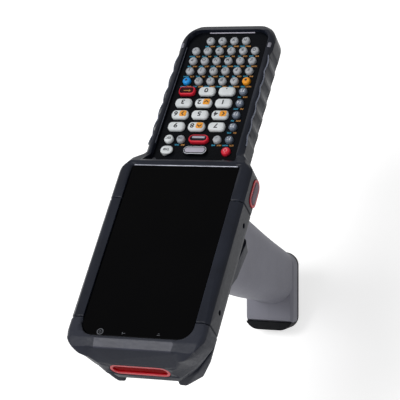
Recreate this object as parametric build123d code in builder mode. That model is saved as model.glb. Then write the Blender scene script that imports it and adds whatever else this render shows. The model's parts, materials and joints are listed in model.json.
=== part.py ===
from build123d import *
import os
from math import cos, radians, sin, tan

# Rugged data terminal with a big screen, a long keypad and a pistol grip, in millimetres.
# Frame: origin in the middle of the display glass's outer face, +Z out of the screen,
# +Y towards the keypad end. Sizes called "back" are measured along Y from the nose.

os.makedirs("parts", exist_ok=True)

# Clearances
drop_gap = 0.3  # round a piece that drops into a pocket
seam_gap = 0.3  # between two housing sections
parting_gap = 0.6  # shadow line between front and rear housings
seat_gap = 0.1  # under a piece that lies on tape or a ledge
screw_fit = 0.05  # radial, screw shank in its hole
pin_fit = 0.05  # radial, trigger on its pin

# Display
glass_w, glass_l, glass_t = 68.0, 115.5, 1.8
glass_nose_r, glass_top_r, glass_edge = 9.0, 1.5, 0.4
ledge_w, ledge_t = 4.0, 1.6
panel_end, panel_t = 6.0, 2.2
camera_x, camera_back, camera_r, camera_h = -21.3, 13.3, 2.2, 3.0

# Housing, plan view
end_w, waist_w = 61.0, 68.6
side_margin, nose_margin = 8.0, 10.75  # glass edge to body side and to nose tip
shoulder_lead, waist_run = 0.75, 13.0
nose_r, shoulder_r, waist_r, end_r = 15.0, 12.0, 10.0, 14.0
wall = 2.4
nose_seam_lead, side_seam_lead = 11.25, 23.75  # from the glass's two ends

# Housing, side view
rim_h, edge_bevel, rail_z = 0.8, 2.2, -4.2
part_z, nose_part_z, nose_part_flat, nose_part_run = -17.5, -24.5, 8.0, 22.0
brow_z, brow_run, brow_top_z, lip_run = -12.0, 3.5, -1.5, 9.0
end_bevel_run, end_bevel_drop = 5.0, 3.0
nose_wall = 7.0
side_draft, rear_depth, keypad_depth, belly_bevel, floor_t = 6.0, 34.0, 26.5, 3.0, 2.4
chin_run, chin_drop = 8.0, 7.5  # slope behind the waist, from deep to slim
lug_x, lug_back, lug_w, lug_l, lug_r, lug_h = 20.5, 11.5, 10.0, 14.0, 3.0, 2.4

# Scallops along the sides of the keypad section
scallop_pitch, scallop_depth, scallop_r, scallop_count, scallop_lead = 11.5, 0.7, 16.0, 6, 17.0

# Keypad
plate_lead, plate_t, plate_z = 4.75, 1.6, -7.0
rail_w, plate_ledge_w, plate_ledge_t = 4.2, 2.0, 1.5
key_gap, key_travel, key_rise, key_sink = 0.3, 0.8, 2.3, 0.5
crown_h, crown_draft = 0.9, 38.0
small_d, soft_d = 5.1, 5.6
number_w, number_d, number_r = 10.4, 5.8, 2.2
enter_w, enter_d, scan_w, scan_d = 12.6, 5.6, 14.6, 5.4
small_pitch, number_pitch, row_pitch = 7.79, 13.0, 8.82
edge_key_x, number_x0 = 19.4, -17.0
row_leads = (10.5, 8.5, 9.3, 7.95)  # plate edge, scan row, soft row, number and letter rows
number_rows, letter_rows, end_lead = 4, 5, 12.13
mat_t, board_t, mat_margin = 1.0, 1.2, 1.2

# Scan window at the nose and the engine behind it
window_l, window_h, window_z = 36.4, 9.8, -18.4
bezel_band, bezel_t, bezel_sink, window_t = 1.5, 2.4, 0.2, 1.4
engine_w, engine_l, engine_h, engine_r, lens_l = 27.0, 13.0, 10.5, 1.5, 2.0

# Side scan buttons
button_lead, button_z, button_l, button_h = 10.75, -11.2, 15.0, 6.6
ring_band, ring_t, ring_proud = 1.4, 2.0, 0.5
button_proud, button_travel, button_depth, pocket_t = 0.9, 0.6, 3.6, 1.6

# Accessory sockets in the side rails
socket_r, socket_depth, socket_boss_r = 1.6, 4.0, 3.2
socket_leads, socket_z = (23.75, 34.25), -9.0  # leads from the glass's two ends

# Dock contacts at the keypad end
dock_z, dock_l, dock_h, dock_depth = -12.6, 22.0, 5.0, 1.0
contact_count, contact_pitch, contact_w, contact_h, contact_t = 6, 3.0, 1.6, 2.6, 0.6

# Battery and its latch
battery_w, battery_r, battery_top_z = 48.0, 5.0, -17.8
battery_lead, battery_tail = 12.0, 22.5  # from the waist and from the keypad end
latch_w, latch_l, latch_t, latch_travel, latch_lead = 14.0, 5.0, 2.0, 3.0, 4.0
tongue_w, tongue_t, tongue_bite = 8.0, 1.0, 1.8

# Saddle under the terminal
saddle_w, saddle_back, saddle_l, saddle_t, saddle_r = 60.0, 61.0, 41.0, 9.0, 6.0
heel_w, heel_l = 37.0, 34.0
saddle_gap, saddle_ramp, saddle_lip, saddle_draft = 0.2, 17.0, 2.0, 8.0

# Pistol grip: depth below its top, middle and length along Y, width
grip_w = 31.0
grip_sections = [
    (0.0, 105.7, 60.0, 34.0),
    (32.0, 117.6, 53.0, 32.0),
    (76.0, 134.0, 46.5, grip_w),
    (107.0, 146.0, 41.5, grip_w),
    (132.0, 154.0, 38.0, grip_w),
]
grip_flat, grip_wall = 2.0, 2.8  # half the flat across the front of the grip
grip_room = (1, 4)  # sections between which the shells are hollow
toe_back, toe_drop, foot_tilt = 124.9, 187.2, 38.5
foot_l, foot_w, foot_h, foot_r, foot_bevel = 54.0, 32.0, 13.0, 9.0, 2.5
pad_t, pad_toe, pad_edge = 3.0, 5.6, 0.8

# Trigger
pin_r, pin_back, pin_drop, pin_seat = 1.5, 88.0, 51.0, 4.0
trigger_w, trigger_gap, slot_back, slot_drop = 13.0, 0.5, 96.0, 88.5
spring_wire, spring_r, spring_turns = 0.5, 2.4, 3
switch_w, switch_l, switch_h, switch_drop = 6.0, 7.0, 10.0, 77.0
plunger_r, plunger_l = 1.0, 2.7
# blade corners and bulges as (along Y, below) the pin; the blade's top is under the saddle
blade_front, blade_back, blade_top_gap, blade_r = -17.5, 4.0, 2.0, 1.2
blade_tip, blade_heel, blade_belly, blade_spine = (-5.5, 35.0), (0.5, 33.0), (-9.0, 13.0), (1.0, 13.0)

# Screws
head_r, head_h, shank_r, boss_r, hex_w = 2.6, 1.8, 1.25, 4.2, 2.4
rail_screw_lead, waist_screw_lead, end_screw_lead = 6.5, 7.3, 11.0
rail_screw_gap, waist_screw_gap, end_screw_gap = 0.2, -0.3, 0.1  # boss to wall
housing_bite = 4.0  # shank length in the front housing
saddle_screw_places = [(24.0, 24.0), (24.0, 36.0)]
grip_screw_places = [(112.0, 60.0), (133.0, 112.0), (148.0, 152.0)]
grip_screw_half = 9.0

# Sizes and places that follow from the sizes above
rows_l = sum(row_leads) + (number_rows - 1) * row_pitch + (letter_rows - 1) * small_pitch
body_w = glass_w + 2 * side_margin
body_l = nose_margin + glass_l + plate_lead + rows_l + end_lead
seam_backs = (nose_margin + nose_seam_lead, nose_margin + glass_l - side_seam_lead)
button_back = nose_margin + glass_l - button_lead
socket_backs = (nose_margin + socket_leads[0], nose_margin + glass_l - socket_leads[1])
nose_y = -glass_l / 2 - nose_margin
end_y = nose_y + body_l
glass_end_y = glass_l / 2
shoulder_y = glass_end_y - shoulder_lead
waist_y = shoulder_y + waist_run
plate_y = glass_end_y + plate_lead
cavity_top = -glass_t - seat_gap - ledge_t
board_z = -glass_t - seat_gap - panel_t - drop_gap - board_t
plate_floor = plate_z - plate_t - seat_gap
key_bottom = plate_z - plate_t - key_sink
mat_top = key_bottom - key_travel - drop_gap
mat_bottom = mat_top - mat_t
scan_row_y = plate_y + row_leads[0]
soft_row_y = scan_row_y + row_leads[1]
number_row_y = soft_row_y + row_leads[2]
letter_row_y = number_row_y + (number_rows - 1) * row_pitch + row_leads[3]
battery_l = end_y - waist_y - battery_lead - battery_tail
bay_y = waist_y + battery_lead + battery_l / 2
latch_y = bay_y + battery_l / 2 + latch_lead
saddle_y = nose_y + saddle_back
saddle_top = -rear_depth - saddle_gap
saddle_bottom = saddle_top - saddle_t
grip_top = saddle_bottom - saddle_gap
spring_pitch = 2.2 * spring_wire
pin_half = trigger_w / 2 + pin_seat
pin_place = (0, nose_y + pin_back, -pin_drop)
boss_inset = wall + boss_r
housing_screw_places = [
    (body_w / 2 - boss_inset - rail_screw_gap, socket_backs[0] - rail_screw_lead),
    (body_w / 2 - boss_inset - rail_screw_gap, seam_backs[1] - rail_screw_lead),
    (waist_w / 2 - boss_inset - waist_screw_gap, waist_y + waist_screw_lead - nose_y),
    (end_w / 2 - boss_inset - end_screw_gap, body_l - end_screw_lead),
]
sole = Plane(
    origin=(0, nose_y + toe_back, -toe_drop),
    x_dir=(1, 0, 0),
    z_dir=(0, -sin(radians(foot_tilt)), cos(radians(foot_tilt))),
)


def write(piece, name):
    piece.part.label = name
    export_step(piece.part, f"parts/{name}.step")


def body_outline(inset=0.0):
    """Plan outline of the terminal: broad screen section, shoulders, slim keypad section."""
    half = [
        (body_w / 2, nose_y, nose_r),
        (body_w / 2, shoulder_y, shoulder_r),
        (waist_w / 2, waist_y, waist_r),
        (end_w / 2, end_y, end_r),
    ]
    corners = [(x, y) for x, y, r in half] + [(-x, y) for x, y, r in reversed(half)]
    radii = [r for x, y, r in half] + [r for x, y, r in reversed(half)]
    with BuildSketch() as outline:
        with BuildLine():
            FilletPolyline(*corners, radius=radii, close=True)
        make_face()
        if inset:
            offset(amount=-inset)
    return outline.sketch


def body_slice(inset, low, high, half_width=body_w):
    """Inset plan outline between two places along Y."""
    with BuildSketch() as piece:
        add(body_outline(inset))
        with Locations((0, (low + high) / 2)):
            Rectangle(2 * half_width, high - low, mode=Mode.INTERSECT)
    return piece.sketch


def plate_outline(inset=0.0):
    """Key plate outline: the body outline inside the rails, cut off near the glass."""
    return body_slice(rail_w + inset, plate_y + inset, end_y, waist_w / 2 - rail_w - inset)


def glass_outline(grow=0.0):
    """Glass outline: wide corners at the nose, tight ones by the keypad."""
    x, y = glass_w / 2 + grow, glass_l / 2 + grow
    radii = [glass_nose_r, glass_nose_r, glass_top_r, glass_top_r]
    with BuildSketch() as pocket:
        with BuildLine():
            FilletPolyline((-x, -y), (x, -y), (x, y), (-x, y), radius=radii, close=True)
        make_face()
    return pocket.sketch


def side_profile(*points):
    """Polygon in the Y-Z plane."""
    with BuildSketch(Plane.YZ) as profile:
        Polygon(*points, align=None)
    return profile.sketch


def parting_line(drop=0.0):
    """Line where front and rear housings meet, from the nose to the keypad end."""
    return [
        (nose_y - 1, nose_part_z - drop),
        (nose_y + nose_part_flat, nose_part_z - drop),
        (nose_y + nose_part_run, part_z - drop),
        (end_y + 1, part_z - drop),
    ]


def nose_plane(depth=0.0, x=0.0):
    """Plane across the nose, looking out of it."""
    return Plane(origin=(x, nose_y + depth, window_z), x_dir=(1, 0, 0), z_dir=(0, -1, 0))


def end_plane(depth=0.0):
    """Plane across the keypad end at the dock contacts, looking out of it."""
    return Plane(origin=(0, end_y - depth, dock_z), x_dir=(1, 0, 0), z_dir=(0, 1, 0))


def side_plane(side, depth=0.0, back=button_back, z=button_z):
    """Plane on a side wall, looking outwards, with its local X along the body."""
    x = side * (body_w / 2 - depth)
    return Plane(origin=(x, nose_y + back, z), x_dir=(0, side, 0), z_dir=(side, 0, 0))


def bevelled_block(top):
    """Body outline up to a top face with a bevel all round it."""
    with BuildPart() as block:
        with BuildSketch(Plane.XY.offset(nose_part_z)):
            add(body_outline())
        extrude(amount=top - edge_bevel - nose_part_z)
        with BuildSketch(Plane.XY.offset(top - edge_bevel)):
            add(body_outline())
        extrude(amount=edge_bevel, taper=45)
    return block.part


def drafted_block(depth):
    """Rear body outline drawn down to a depth, with a bevel round its belly."""
    straight = depth + part_z - belly_bevel
    with BuildPart() as block:
        with BuildSketch(Plane.XY.offset(part_z)):
            add(body_outline())
        extrude(amount=-straight, taper=side_draft)
        with BuildSketch(Plane.XY.offset(part_z - straight)):
            add(body_outline(straight * tan(radians(side_draft))))
        extrude(amount=-belly_bevel, taper=45)
    return block.part


def scallops():
    """Cutters for the finger scallops down both sides of the keypad section."""
    lean = (waist_w - end_w) / 2 / (end_y - waist_y)
    with BuildSketch(Plane.XY.offset(-2 * rear_depth)) as cutters:
        for index in range(scallop_count):
            y = waist_y + scallop_lead + index * scallop_pitch
            x = waist_w / 2 - lean * (y - waist_y) + scallop_r - scallop_depth
            with Locations((x, y), (-x, y)):
                Circle(scallop_r)
    return cutters.sketch


def front_form():
    """Outer form of the front housing, before its pockets."""
    screen_block = bevelled_block(rim_h)
    keypad_block = bevelled_block(rail_z)
    over = 2 * rim_h
    with BuildPart() as form:
        add(screen_block)
        step = side_profile(
            (nose_y - 1, nose_part_z),
            (nose_y - 1, over),
            (glass_end_y + over, over),
            (waist_y + edge_bevel, rail_z - edge_bevel),
            (waist_y + edge_bevel, nose_part_z),
        )
        extrude(step, amount=body_w, both=True, mode=Mode.INTERSECT)
        add(keypad_block)
        side = side_profile(
            *parting_line(),
            (end_y + 1, rail_z - end_bevel_drop),
            (end_y - end_bevel_run, rail_z),
            (end_y - end_bevel_run, over),
            (nose_y + lip_run, over),
            (nose_y + lip_run, rim_h),
            (nose_y + brow_run, brow_top_z),
            (nose_y, brow_z),
            (nose_y - 1, brow_z),
        )
        extrude(side, amount=body_w, both=True, mode=Mode.INTERSECT)
        extrude(scallops(), amount=4 * rear_depth, mode=Mode.SUBTRACT)
    return form.part


def front_shell():
    """Front housing with its pockets, before it is cut into its sections."""
    form = front_form()
    ring_l, ring_h = button_l + 2 * ring_band, button_h + 2 * ring_band
    with BuildPart() as shell:
        add(form)
        # room under the screen and under the keypad
        with BuildSketch(Plane.XY.offset(nose_part_z)):
            add(body_slice(wall, nose_y + nose_wall, glass_end_y))
        extrude(amount=cavity_top - nose_part_z, mode=Mode.SUBTRACT)
        with BuildSketch(Plane.XY.offset(nose_part_z)):
            add(plate_outline(wall - rail_w))
        extrude(amount=plate_floor - plate_ledge_t - nose_part_z, mode=Mode.SUBTRACT)
        # bosses that take the housing screws
        for x, back in housing_screw_places:
            top = cavity_top if nose_y + back < glass_end_y else mat_bottom - board_t - drop_gap
            with BuildSketch(Plane.XY.offset(part_z)):
                with Locations((x, nose_y + back), (-x, nose_y + back)):
                    Circle(boss_r)
            extrude(amount=top - part_z)
            with BuildSketch(Plane.XY.offset(part_z)):
                with Locations((x, nose_y + back), (-x, nose_y + back)):
                    Circle(shank_r + screw_fit)
            extrude(amount=housing_bite + seat_gap, mode=Mode.SUBTRACT)
        # pocket and opening for the glass and the panel under it
        with BuildSketch(Plane.XY.offset(-glass_t - seat_gap)):
            add(glass_outline(drop_gap))
        extrude(amount=glass_t + seat_gap + 2 * rim_h, mode=Mode.SUBTRACT)
        with BuildSketch(Plane.XY.offset(cavity_top)):
            Rectangle(glass_w - 2 * ledge_w, glass_l - 2 * panel_end)
            with Locations((camera_x, nose_y + camera_back)):
                Circle(camera_r + drop_gap)
        extrude(amount=ledge_t + seat_gap, mode=Mode.SUBTRACT)
        # pocket and opening for the key plate
        with BuildSketch(Plane.XY.offset(plate_floor)):
            add(plate_outline())
        extrude(amount=rim_h - plate_floor, mode=Mode.SUBTRACT)
        with BuildSketch(Plane.XY.offset(plate_floor - plate_ledge_t)):
            add(plate_outline(plate_ledge_w))
        extrude(amount=plate_ledge_t, mode=Mode.SUBTRACT)
        for side in (1, -1):
            # side button: backing, ring pocket, button pocket
            with BuildSketch(side_plane(side, wall)):
                SlotOverall(ring_l + 2 * ring_band, ring_h + 2 * ring_band)
            extrude(amount=wall - ring_t - button_depth - pocket_t)
            with BuildSketch(side_plane(side, -wall)):
                SlotOverall(ring_l + 2 * drop_gap, ring_h + 2 * drop_gap)
            extrude(amount=-wall - ring_t, mode=Mode.SUBTRACT)
            with BuildSketch(side_plane(side, ring_t)):
                SlotOverall(button_l, button_h)
            extrude(amount=-button_depth, mode=Mode.SUBTRACT)
            # accessory sockets
            for back in socket_backs:
                with BuildSketch(side_plane(side, wall, back, socket_z)):
                    Circle(socket_boss_r)
                extrude(amount=wall / 2 - socket_depth)
                with BuildSketch(side_plane(side, 0, back, socket_z)):
                    Circle(socket_r)
                extrude(amount=-socket_depth, mode=Mode.SUBTRACT)
        # scan window: pocket and light path
        with BuildSketch(nose_plane()):
            SlotOverall(window_l + 2 * drop_gap, window_h + 2 * drop_gap)
        extrude(amount=-bezel_t - drop_gap, mode=Mode.SUBTRACT)
        with BuildSketch(nose_plane()):
            SlotOverall(window_l - 2 * bezel_band, window_h - 2 * bezel_band)
        extrude(amount=-nose_wall - 1, mode=Mode.SUBTRACT)
    return shell.part


def between(shell, low, high):
    """The part of the front housing between two places along Y."""
    with BuildPart() as section:
        add(shell)
        with Locations((0, (low + high) / 2, 0)):
            Box(2 * body_w, high - low, 4 * rear_depth, mode=Mode.INTERSECT)
    return section.part


def front_housing():
    """Nose bumper, two side rails and keypad frame."""
    shell = front_shell()
    half = seam_gap / 2
    seams = [nose_y + back for back in seam_backs]
    sections = {
        "nose_bumper": between(shell, nose_y - 1, seams[0] - half).solid(),
        "keypad_frame": between(shell, seams[1] + half, end_y + 1).solid(),
    }
    rails = between(shell, seams[0] + half, seams[1] - half).solids().sort_by(Axis.X)
    sections["side_rail_left"], sections["side_rail_right"] = rails
    for name, solid in sections.items():
        with BuildPart() as piece:
            add(solid)
            if name == "keypad_frame":
                with BuildSketch(end_plane()):
                    SlotOverall(dock_l, dock_h)
                extrude(amount=-dock_depth, mode=Mode.SUBTRACT)
        write(piece, name)


def dock_contacts():
    with BuildPart() as contacts:
        with BuildSketch(end_plane(dock_depth)):
            with GridLocations(contact_pitch, 0, contact_count, 1):
                Rectangle(contact_w, contact_h)
        extrude(amount=contact_t)
    write(contacts, "dock_contacts")


def screw_floor(back):
    """Depth of the rear face where a housing screw sits."""
    return rear_depth if nose_y + back < glass_end_y else keypad_depth


def rear_housing():
    """Rear shell: nose lugs, screw bosses, battery bay and latch recess."""
    deep, slim = drafted_block(rear_depth), drafted_block(keypad_depth)
    with BuildPart() as rear:
        add(deep)
        slope = side_profile(
            (nose_y - 1, part_z),
            (nose_y - 1, -rear_depth),
            (waist_y - chin_run, -rear_depth),
            (waist_y, -rear_depth + chin_drop),
            (waist_y, part_z),
        )
        extrude(slope, amount=body_w, both=True, mode=Mode.INTERSECT)
        add(slim)
        above = side_profile(*parting_line(parting_gap), (end_y + 1, 0), (nose_y - 1, 0))
        extrude(above, amount=body_w, both=True, mode=Mode.SUBTRACT)
        extrude(scallops(), amount=4 * rear_depth, mode=Mode.SUBTRACT)
        # lugs under the nose
        with BuildSketch(Plane.XY.offset(1 - rear_depth)):
            with Locations((lug_x, nose_y + lug_back), (-lug_x, nose_y + lug_back)):
                RectangleRounded(lug_w, lug_l, lug_r)
        extrude(amount=-lug_h - 1, taper=25)
        # room inside
        with BuildSketch(Plane.XY.offset(part_z)):
            add(body_slice(2 * wall, nose_y + nose_wall - 1, waist_y - chin_run - 1))
        extrude(amount=floor_t - rear_depth - part_z, taper=side_draft, mode=Mode.SUBTRACT)
        # battery bay, latch recess and the latch tongue's passage
        with BuildSketch(Plane.XY.offset(part_z)):
            with Locations((0, bay_y)):
                RectangleRounded(
                    battery_w + 2 * drop_gap, battery_l + 2 * drop_gap, battery_r + drop_gap
                )
        extrude(amount=-rear_depth, mode=Mode.SUBTRACT)
        with BuildSketch(Plane.XY.offset(-keypad_depth - 1)):
            with Locations((0, latch_y + latch_travel / 2)):
                Rectangle(latch_w + 2 * drop_gap, latch_l + latch_travel + 2 * drop_gap)
            with Locations((0, latch_y - latch_lead)):
                Rectangle(tongue_w + 2 * drop_gap, 2 * latch_lead)
        extrude(amount=1 + latch_t + drop_gap, mode=Mode.SUBTRACT)
        # bosses for the housing screws, each with its seat
        for x, back in housing_screw_places:
            places = ((x, nose_y + back), (-x, nose_y + back))
            with BuildSketch(Plane.XY.offset(1 - screw_floor(back))):
                with Locations(*places):
                    Circle(boss_r)
            extrude(amount=part_z - parting_gap + screw_floor(back) - 1)
            with BuildSketch(Plane.XY.offset(-screw_floor(back))):
                with Locations(*places):
                    Circle(shank_r + screw_fit)
            extrude(amount=rear_depth, mode=Mode.SUBTRACT)
            with BuildSketch(Plane.XY.offset(-screw_floor(back))):
                with Locations(*places):
                    Circle(head_r + screw_fit)
            extrude(amount=head_h + seat_gap, mode=Mode.SUBTRACT)
        # holes in the floor for the saddle screws
        for x, back in saddle_screw_places:
            with BuildSketch(Plane.XY.offset(-rear_depth)):
                with Locations((x, saddle_y + back), (-x, saddle_y + back)):
                    Circle(shank_r + screw_fit)
            extrude(amount=floor_t + 1, mode=Mode.SUBTRACT)
    write(rear, "rear_housing")


def hex_screws(name, places, length):
    """Screws that stand upwards from their heads' undersides, each with a hex socket."""
    with BuildPart() as screws:
        for x, y, z, shank in [(x, y, z, length(z)) for x, y, z in places]:
            with BuildSketch(Plane.XY.offset(z)):
                with Locations((x, y)):
                    Circle(head_r)
                    RegularPolygon(hex_w / 2, 6, mode=Mode.SUBTRACT)
            extrude(amount=head_h / 2)
            with BuildSketch(Plane.XY.offset(z + head_h / 2)):
                with Locations((x, y)):
                    Circle(head_r)
            extrude(amount=head_h / 2)
            with BuildSketch(Plane.XY.offset(z + head_h)):
                with Locations((x, y)):
                    Circle(shank_r)
            extrude(amount=shank - head_h)
    write(screws, name)


def screws():
    places = [
        (side * x, nose_y + back, seat_gap - screw_floor(back))
        for x, back in housing_screw_places
        for side in (1, -1)
    ]
    hex_screws("housing_screws", places, lambda z: part_z + housing_bite - z)
    places = [
        (side * x, saddle_y + back, saddle_bottom + seat_gap)
        for x, back in saddle_screw_places
        for side in (1, -1)
    ]
    hex_screws("saddle_screws", places, lambda z: floor_t - rear_depth - z)


def display():
    with BuildPart() as glass:
        with BuildSketch(Plane.XY.offset(-glass_t)):
            add(glass_outline())
        extrude(amount=glass_t)
        chamfer(glass.faces().sort_by(Axis.Z)[-1].edges(), glass_edge)
    write(glass, "display_glass")
    with BuildPart() as panel:
        with BuildSketch(Plane.XY.offset(-glass_t - seat_gap - panel_t)):
            Rectangle(
                glass_w - 2 * ledge_w - 2 * drop_gap,
                glass_l - 2 * panel_end - 2 * drop_gap,
            )
        extrude(amount=panel_t)
    write(panel, "display_panel")
    with BuildPart() as camera:
        with BuildSketch(Plane.XY.offset(-glass_t - seat_gap)):
            with Locations((camera_x, nose_y + camera_back)):
                Circle(camera_r)
        extrude(amount=-camera_h)
    write(camera, "front_camera")


def scan_window():
    with BuildPart() as bezel:
        with BuildSketch(nose_plane(bezel_t)):
            SlotOverall(window_l, window_h)
            SlotOverall(
                window_l - 2 * bezel_band, window_h - 2 * bezel_band, mode=Mode.SUBTRACT
            )
        extrude(amount=bezel_t - bezel_sink)
    write(bezel, "scan_bezel")
    inset = 2 * (bezel_band + seat_gap)
    with BuildPart() as window:
        with BuildSketch(nose_plane(bezel_t)):
            SlotOverall(window_l - inset, window_h - inset)
        extrude(amount=window_t)
    write(window, "scan_window")


def scan_engine():
    front = nose_wall + seat_gap
    with BuildPart() as engine:
        with BuildSketch(nose_plane(front)):
            RectangleRounded(engine_w, engine_h, engine_r)
        extrude(amount=-engine_l)
        for x, r in ((-6.5, 3.2), (7.0, 2.0)):
            with BuildSketch(nose_plane(front, x)):
                Circle(r)
            extrude(amount=lens_l)
    write(engine, "scan_engine")


def main_board():
    low, high = nose_y + nose_part_run, glass_end_y - panel_end
    chips = ((0, -16, 34, 26), (-14, 22, 22, 22), (15, 20, 16, 30), (4, 44, 30, 8))
    with BuildPart() as board:
        with BuildSketch(Plane.XY.offset(board_z)):
            Rectangle(glass_w - 2 * ledge_w, 2 * high)
            with Locations((0, (low + high) / 2)):
                Rectangle(body_w, high - low, mode=Mode.INTERSECT)
        extrude(amount=board_t)
        with BuildSketch(Plane.XY.offset(board_z)):
            for x, y, width, length in chips:
                with Locations((x, y)):
                    RectangleRounded(width, length, 1.2)
        extrude(amount=-2 * board_t)
    write(board, "main_board")


def key_plan():
    """Node name, centre, outline kind, width and depth of every key cap."""
    keys = []
    for row in range(letter_rows):
        count = 4 if row == letter_rows - 1 else 6
        for column in range(count):
            name = f"letter_row_{row + 1}"
            if row == 0 and column in (0, count - 1):
                name = "blue_shift_key" if column == 0 else "orange_shift_key"
            x = (column - (count - 1) / 2) * small_pitch
            keys.append((name, x, letter_row_y + row * small_pitch, "round", small_d, small_d))
    names = (("9", "8", "7"), ("6", "5", "4"), ("3", "2", "1"), ("back", "0", "point"))
    for row, trio in enumerate(names):
        y = number_row_y + row * row_pitch
        for column, mark in enumerate(trio):
            x = number_x0 + column * number_pitch
            keys.append((f"key_{mark}", x, y, "block", number_w, number_d))
        keys.append(("function_keys", edge_key_x, y, "round", small_d, small_d))
    for x, name in ((edge_key_x, "function_keys"), (1.5, "soft_keys"), (-1.5, "soft_keys")):
        x = x * small_pitch if name == "soft_keys" else x
        keys.append((name, x, soft_row_y, "round", small_d, small_d))
    keys.append(("mark_key_upper", -edge_key_x, soft_row_y, "round", soft_d, soft_d))
    keys.append(("enter_key", 0, soft_row_y, "capsule", enter_w, enter_d))
    keys.append(("mark_key_lower", -edge_key_x, scan_row_y, "round", soft_d, soft_d))
    keys.append(("scan_key", 0, scan_row_y, "capsule", scan_w, scan_d))
    keys.append(("power_key", edge_key_x, scan_row_y, "round", soft_d, soft_d))
    return keys


def key_outlines(keys, grow=0.0):
    """Outlines of the given keys, each grown by a gap."""
    with BuildSketch() as outlines:
        for name, x, y, kind, width, depth in keys:
            with Locations((x, y)):
                if kind == "round":
                    Circle(width / 2 + grow)
                elif kind == "block":
                    RectangleRounded(width + 2 * grow, depth + 2 * grow, number_r + grow)
                else:
                    SlotOverall(width + 2 * grow, depth + 2 * grow)
    return outlines.sketch


def keypad():
    """Key plate with its holes, the caps that stand in them, the mat and its board."""
    keys = key_plan()
    with BuildPart() as plate:
        with BuildSketch(Plane.XY.offset(plate_z - plate_t)):
            add(plate_outline(drop_gap))
            add(key_outlines(keys, key_gap), mode=Mode.SUBTRACT)
        extrude(amount=plate_t)
    write(plate, "key_plate")
    side_h = plate_z + key_rise - crown_h - key_bottom
    for name in sorted({key[0] for key in keys}):
        outlines = key_outlines([key for key in keys if key[0] == name])
        with BuildPart() as caps:
            with BuildSketch(Plane.XY.offset(key_bottom)):
                add(outlines)
            extrude(amount=side_h)
            with BuildSketch(Plane.XY.offset(key_bottom + side_h)):
                add(outlines)
            extrude(amount=crown_h, taper=crown_draft)
        write(caps, name)
    for name, top, thick in (("key_mat", mat_top, mat_t), ("keypad_board", mat_bottom, board_t)):
        with BuildPart() as sheet:
            with BuildSketch(Plane.XY.offset(top)):
                add(plate_outline(wall - rail_w + mat_margin))
            extrude(amount=-thick)
        write(sheet, name)


def battery():
    low = latch_y - latch_l / 2
    with BuildPart() as pack:
        with BuildSketch(Plane.XY.offset(battery_top_z)):
            with Locations((0, bay_y)):
                RectangleRounded(battery_w, battery_l, battery_r)
        extrude(amount=-keypad_depth - battery_top_z)
        chamfer(pack.faces().sort_by(Axis.Z)[0].edges(), 0.6)
        with BuildSketch(Plane.XY.offset(-keypad_depth)):
            with Locations((0, bay_y - 8)):
                with GridLocations(0, 6.0, 1, 5):
                    SlotOverall(26.0, 1.6)
        extrude(amount=0.6, mode=Mode.SUBTRACT)
        with BuildSketch(Plane.XY.offset(-keypad_depth)):
            with Locations((0, bay_y + battery_l / 2)):
                Rectangle(tongue_w + 2 * drop_gap, 2 * (tongue_bite + drop_gap))
        extrude(amount=latch_t + drop_gap, mode=Mode.SUBTRACT)
    write(pack, "battery_pack")
    with BuildPart() as latch:
        with BuildSketch(Plane.XY.offset(-keypad_depth)):
            with Locations((0, latch_y)):
                Rectangle(latch_w, latch_l)
        extrude(amount=latch_t)
        with BuildSketch(Plane.XY.offset(-keypad_depth)):
            with Locations((0, latch_y)):
                with GridLocations(0, 1.5, 1, 3):
                    Rectangle(latch_w - 3, 0.6)
        extrude(amount=-0.5)
        tip = bay_y + battery_l / 2 - tongue_bite
        with BuildSketch(Plane.XY.offset(-keypad_depth + latch_t)):
            with Locations((0, (tip + low) / 2)):
                Rectangle(tongue_w, low - tip)
        extrude(amount=-tongue_t)
    write(latch, "battery_latch")


def side_buttons():
    for side, name in ((1, "right"), (-1, "left")):
        with BuildPart() as ring:
            with BuildSketch(side_plane(side, ring_t)):
                SlotOverall(button_l + 2 * ring_band, button_h + 2 * ring_band)
                SlotOverall(button_l, button_h, mode=Mode.SUBTRACT)
            extrude(amount=ring_t + ring_proud)
        write(ring, f"button_ring_{name}")
        depth = ring_t + button_depth - button_travel - drop_gap
        with BuildPart() as button:
            with BuildSketch(side_plane(side, depth)):
                SlotOverall(button_l - 2 * drop_gap, button_h - 2 * drop_gap)
            extrude(amount=depth + button_proud)
            chamfer(button.faces().sort_by(Axis.X)[-1 if side > 0 else 0].edges(), 0.5)
        write(button, f"side_button_{name}")


def saddle():
    """Dark saddle that carries the grip: two wings and a heel that runs back."""
    far = saddle_l + heel_l
    with BuildPart() as piece:
        with BuildSketch(Plane.XY.offset(saddle_top)):
            with Locations((0, saddle_y + saddle_l / 2)):
                RectangleRounded(saddle_w, saddle_l, saddle_r)
            with Locations((0, saddle_y + far / 2)):
                RectangleRounded(heel_w, far, saddle_r)
        extrude(amount=-saddle_t, taper=saddle_draft)
        ramp = side_profile(
            (saddle_y - 1, saddle_top + 1),
            (saddle_y - 1, saddle_top - saddle_lip),
            (saddle_y + saddle_ramp, saddle_bottom),
            (saddle_y + far + 1, saddle_bottom),
            (saddle_y + far + 1, saddle_top + 1),
        )
        extrude(ramp, amount=body_w, both=True, mode=Mode.INTERSECT)
        for x, back in saddle_screw_places:
            for radius, height in (
                (shank_r + screw_fit, saddle_t),
                (head_r + screw_fit, head_h + seat_gap),
            ):
                with BuildSketch(Plane.XY.offset(saddle_bottom)):
                    with Locations((x, saddle_y + back), (-x, saddle_y + back)):
                        Circle(radius)
                extrude(amount=height, mode=Mode.SUBTRACT)
    write(piece, "grip_saddle")


def grip_section(index, inset=0.0):
    drop, back, length, width = grip_sections[index]
    with BuildSketch(Plane.XY.offset(grip_top - drop)) as section:
        with Locations((0, nose_y + back)):
            width, length = width - 2 * inset, length - 2 * inset
            RectangleRounded(width, length, width / 2 - grip_flat)
    return section.sketch


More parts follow.
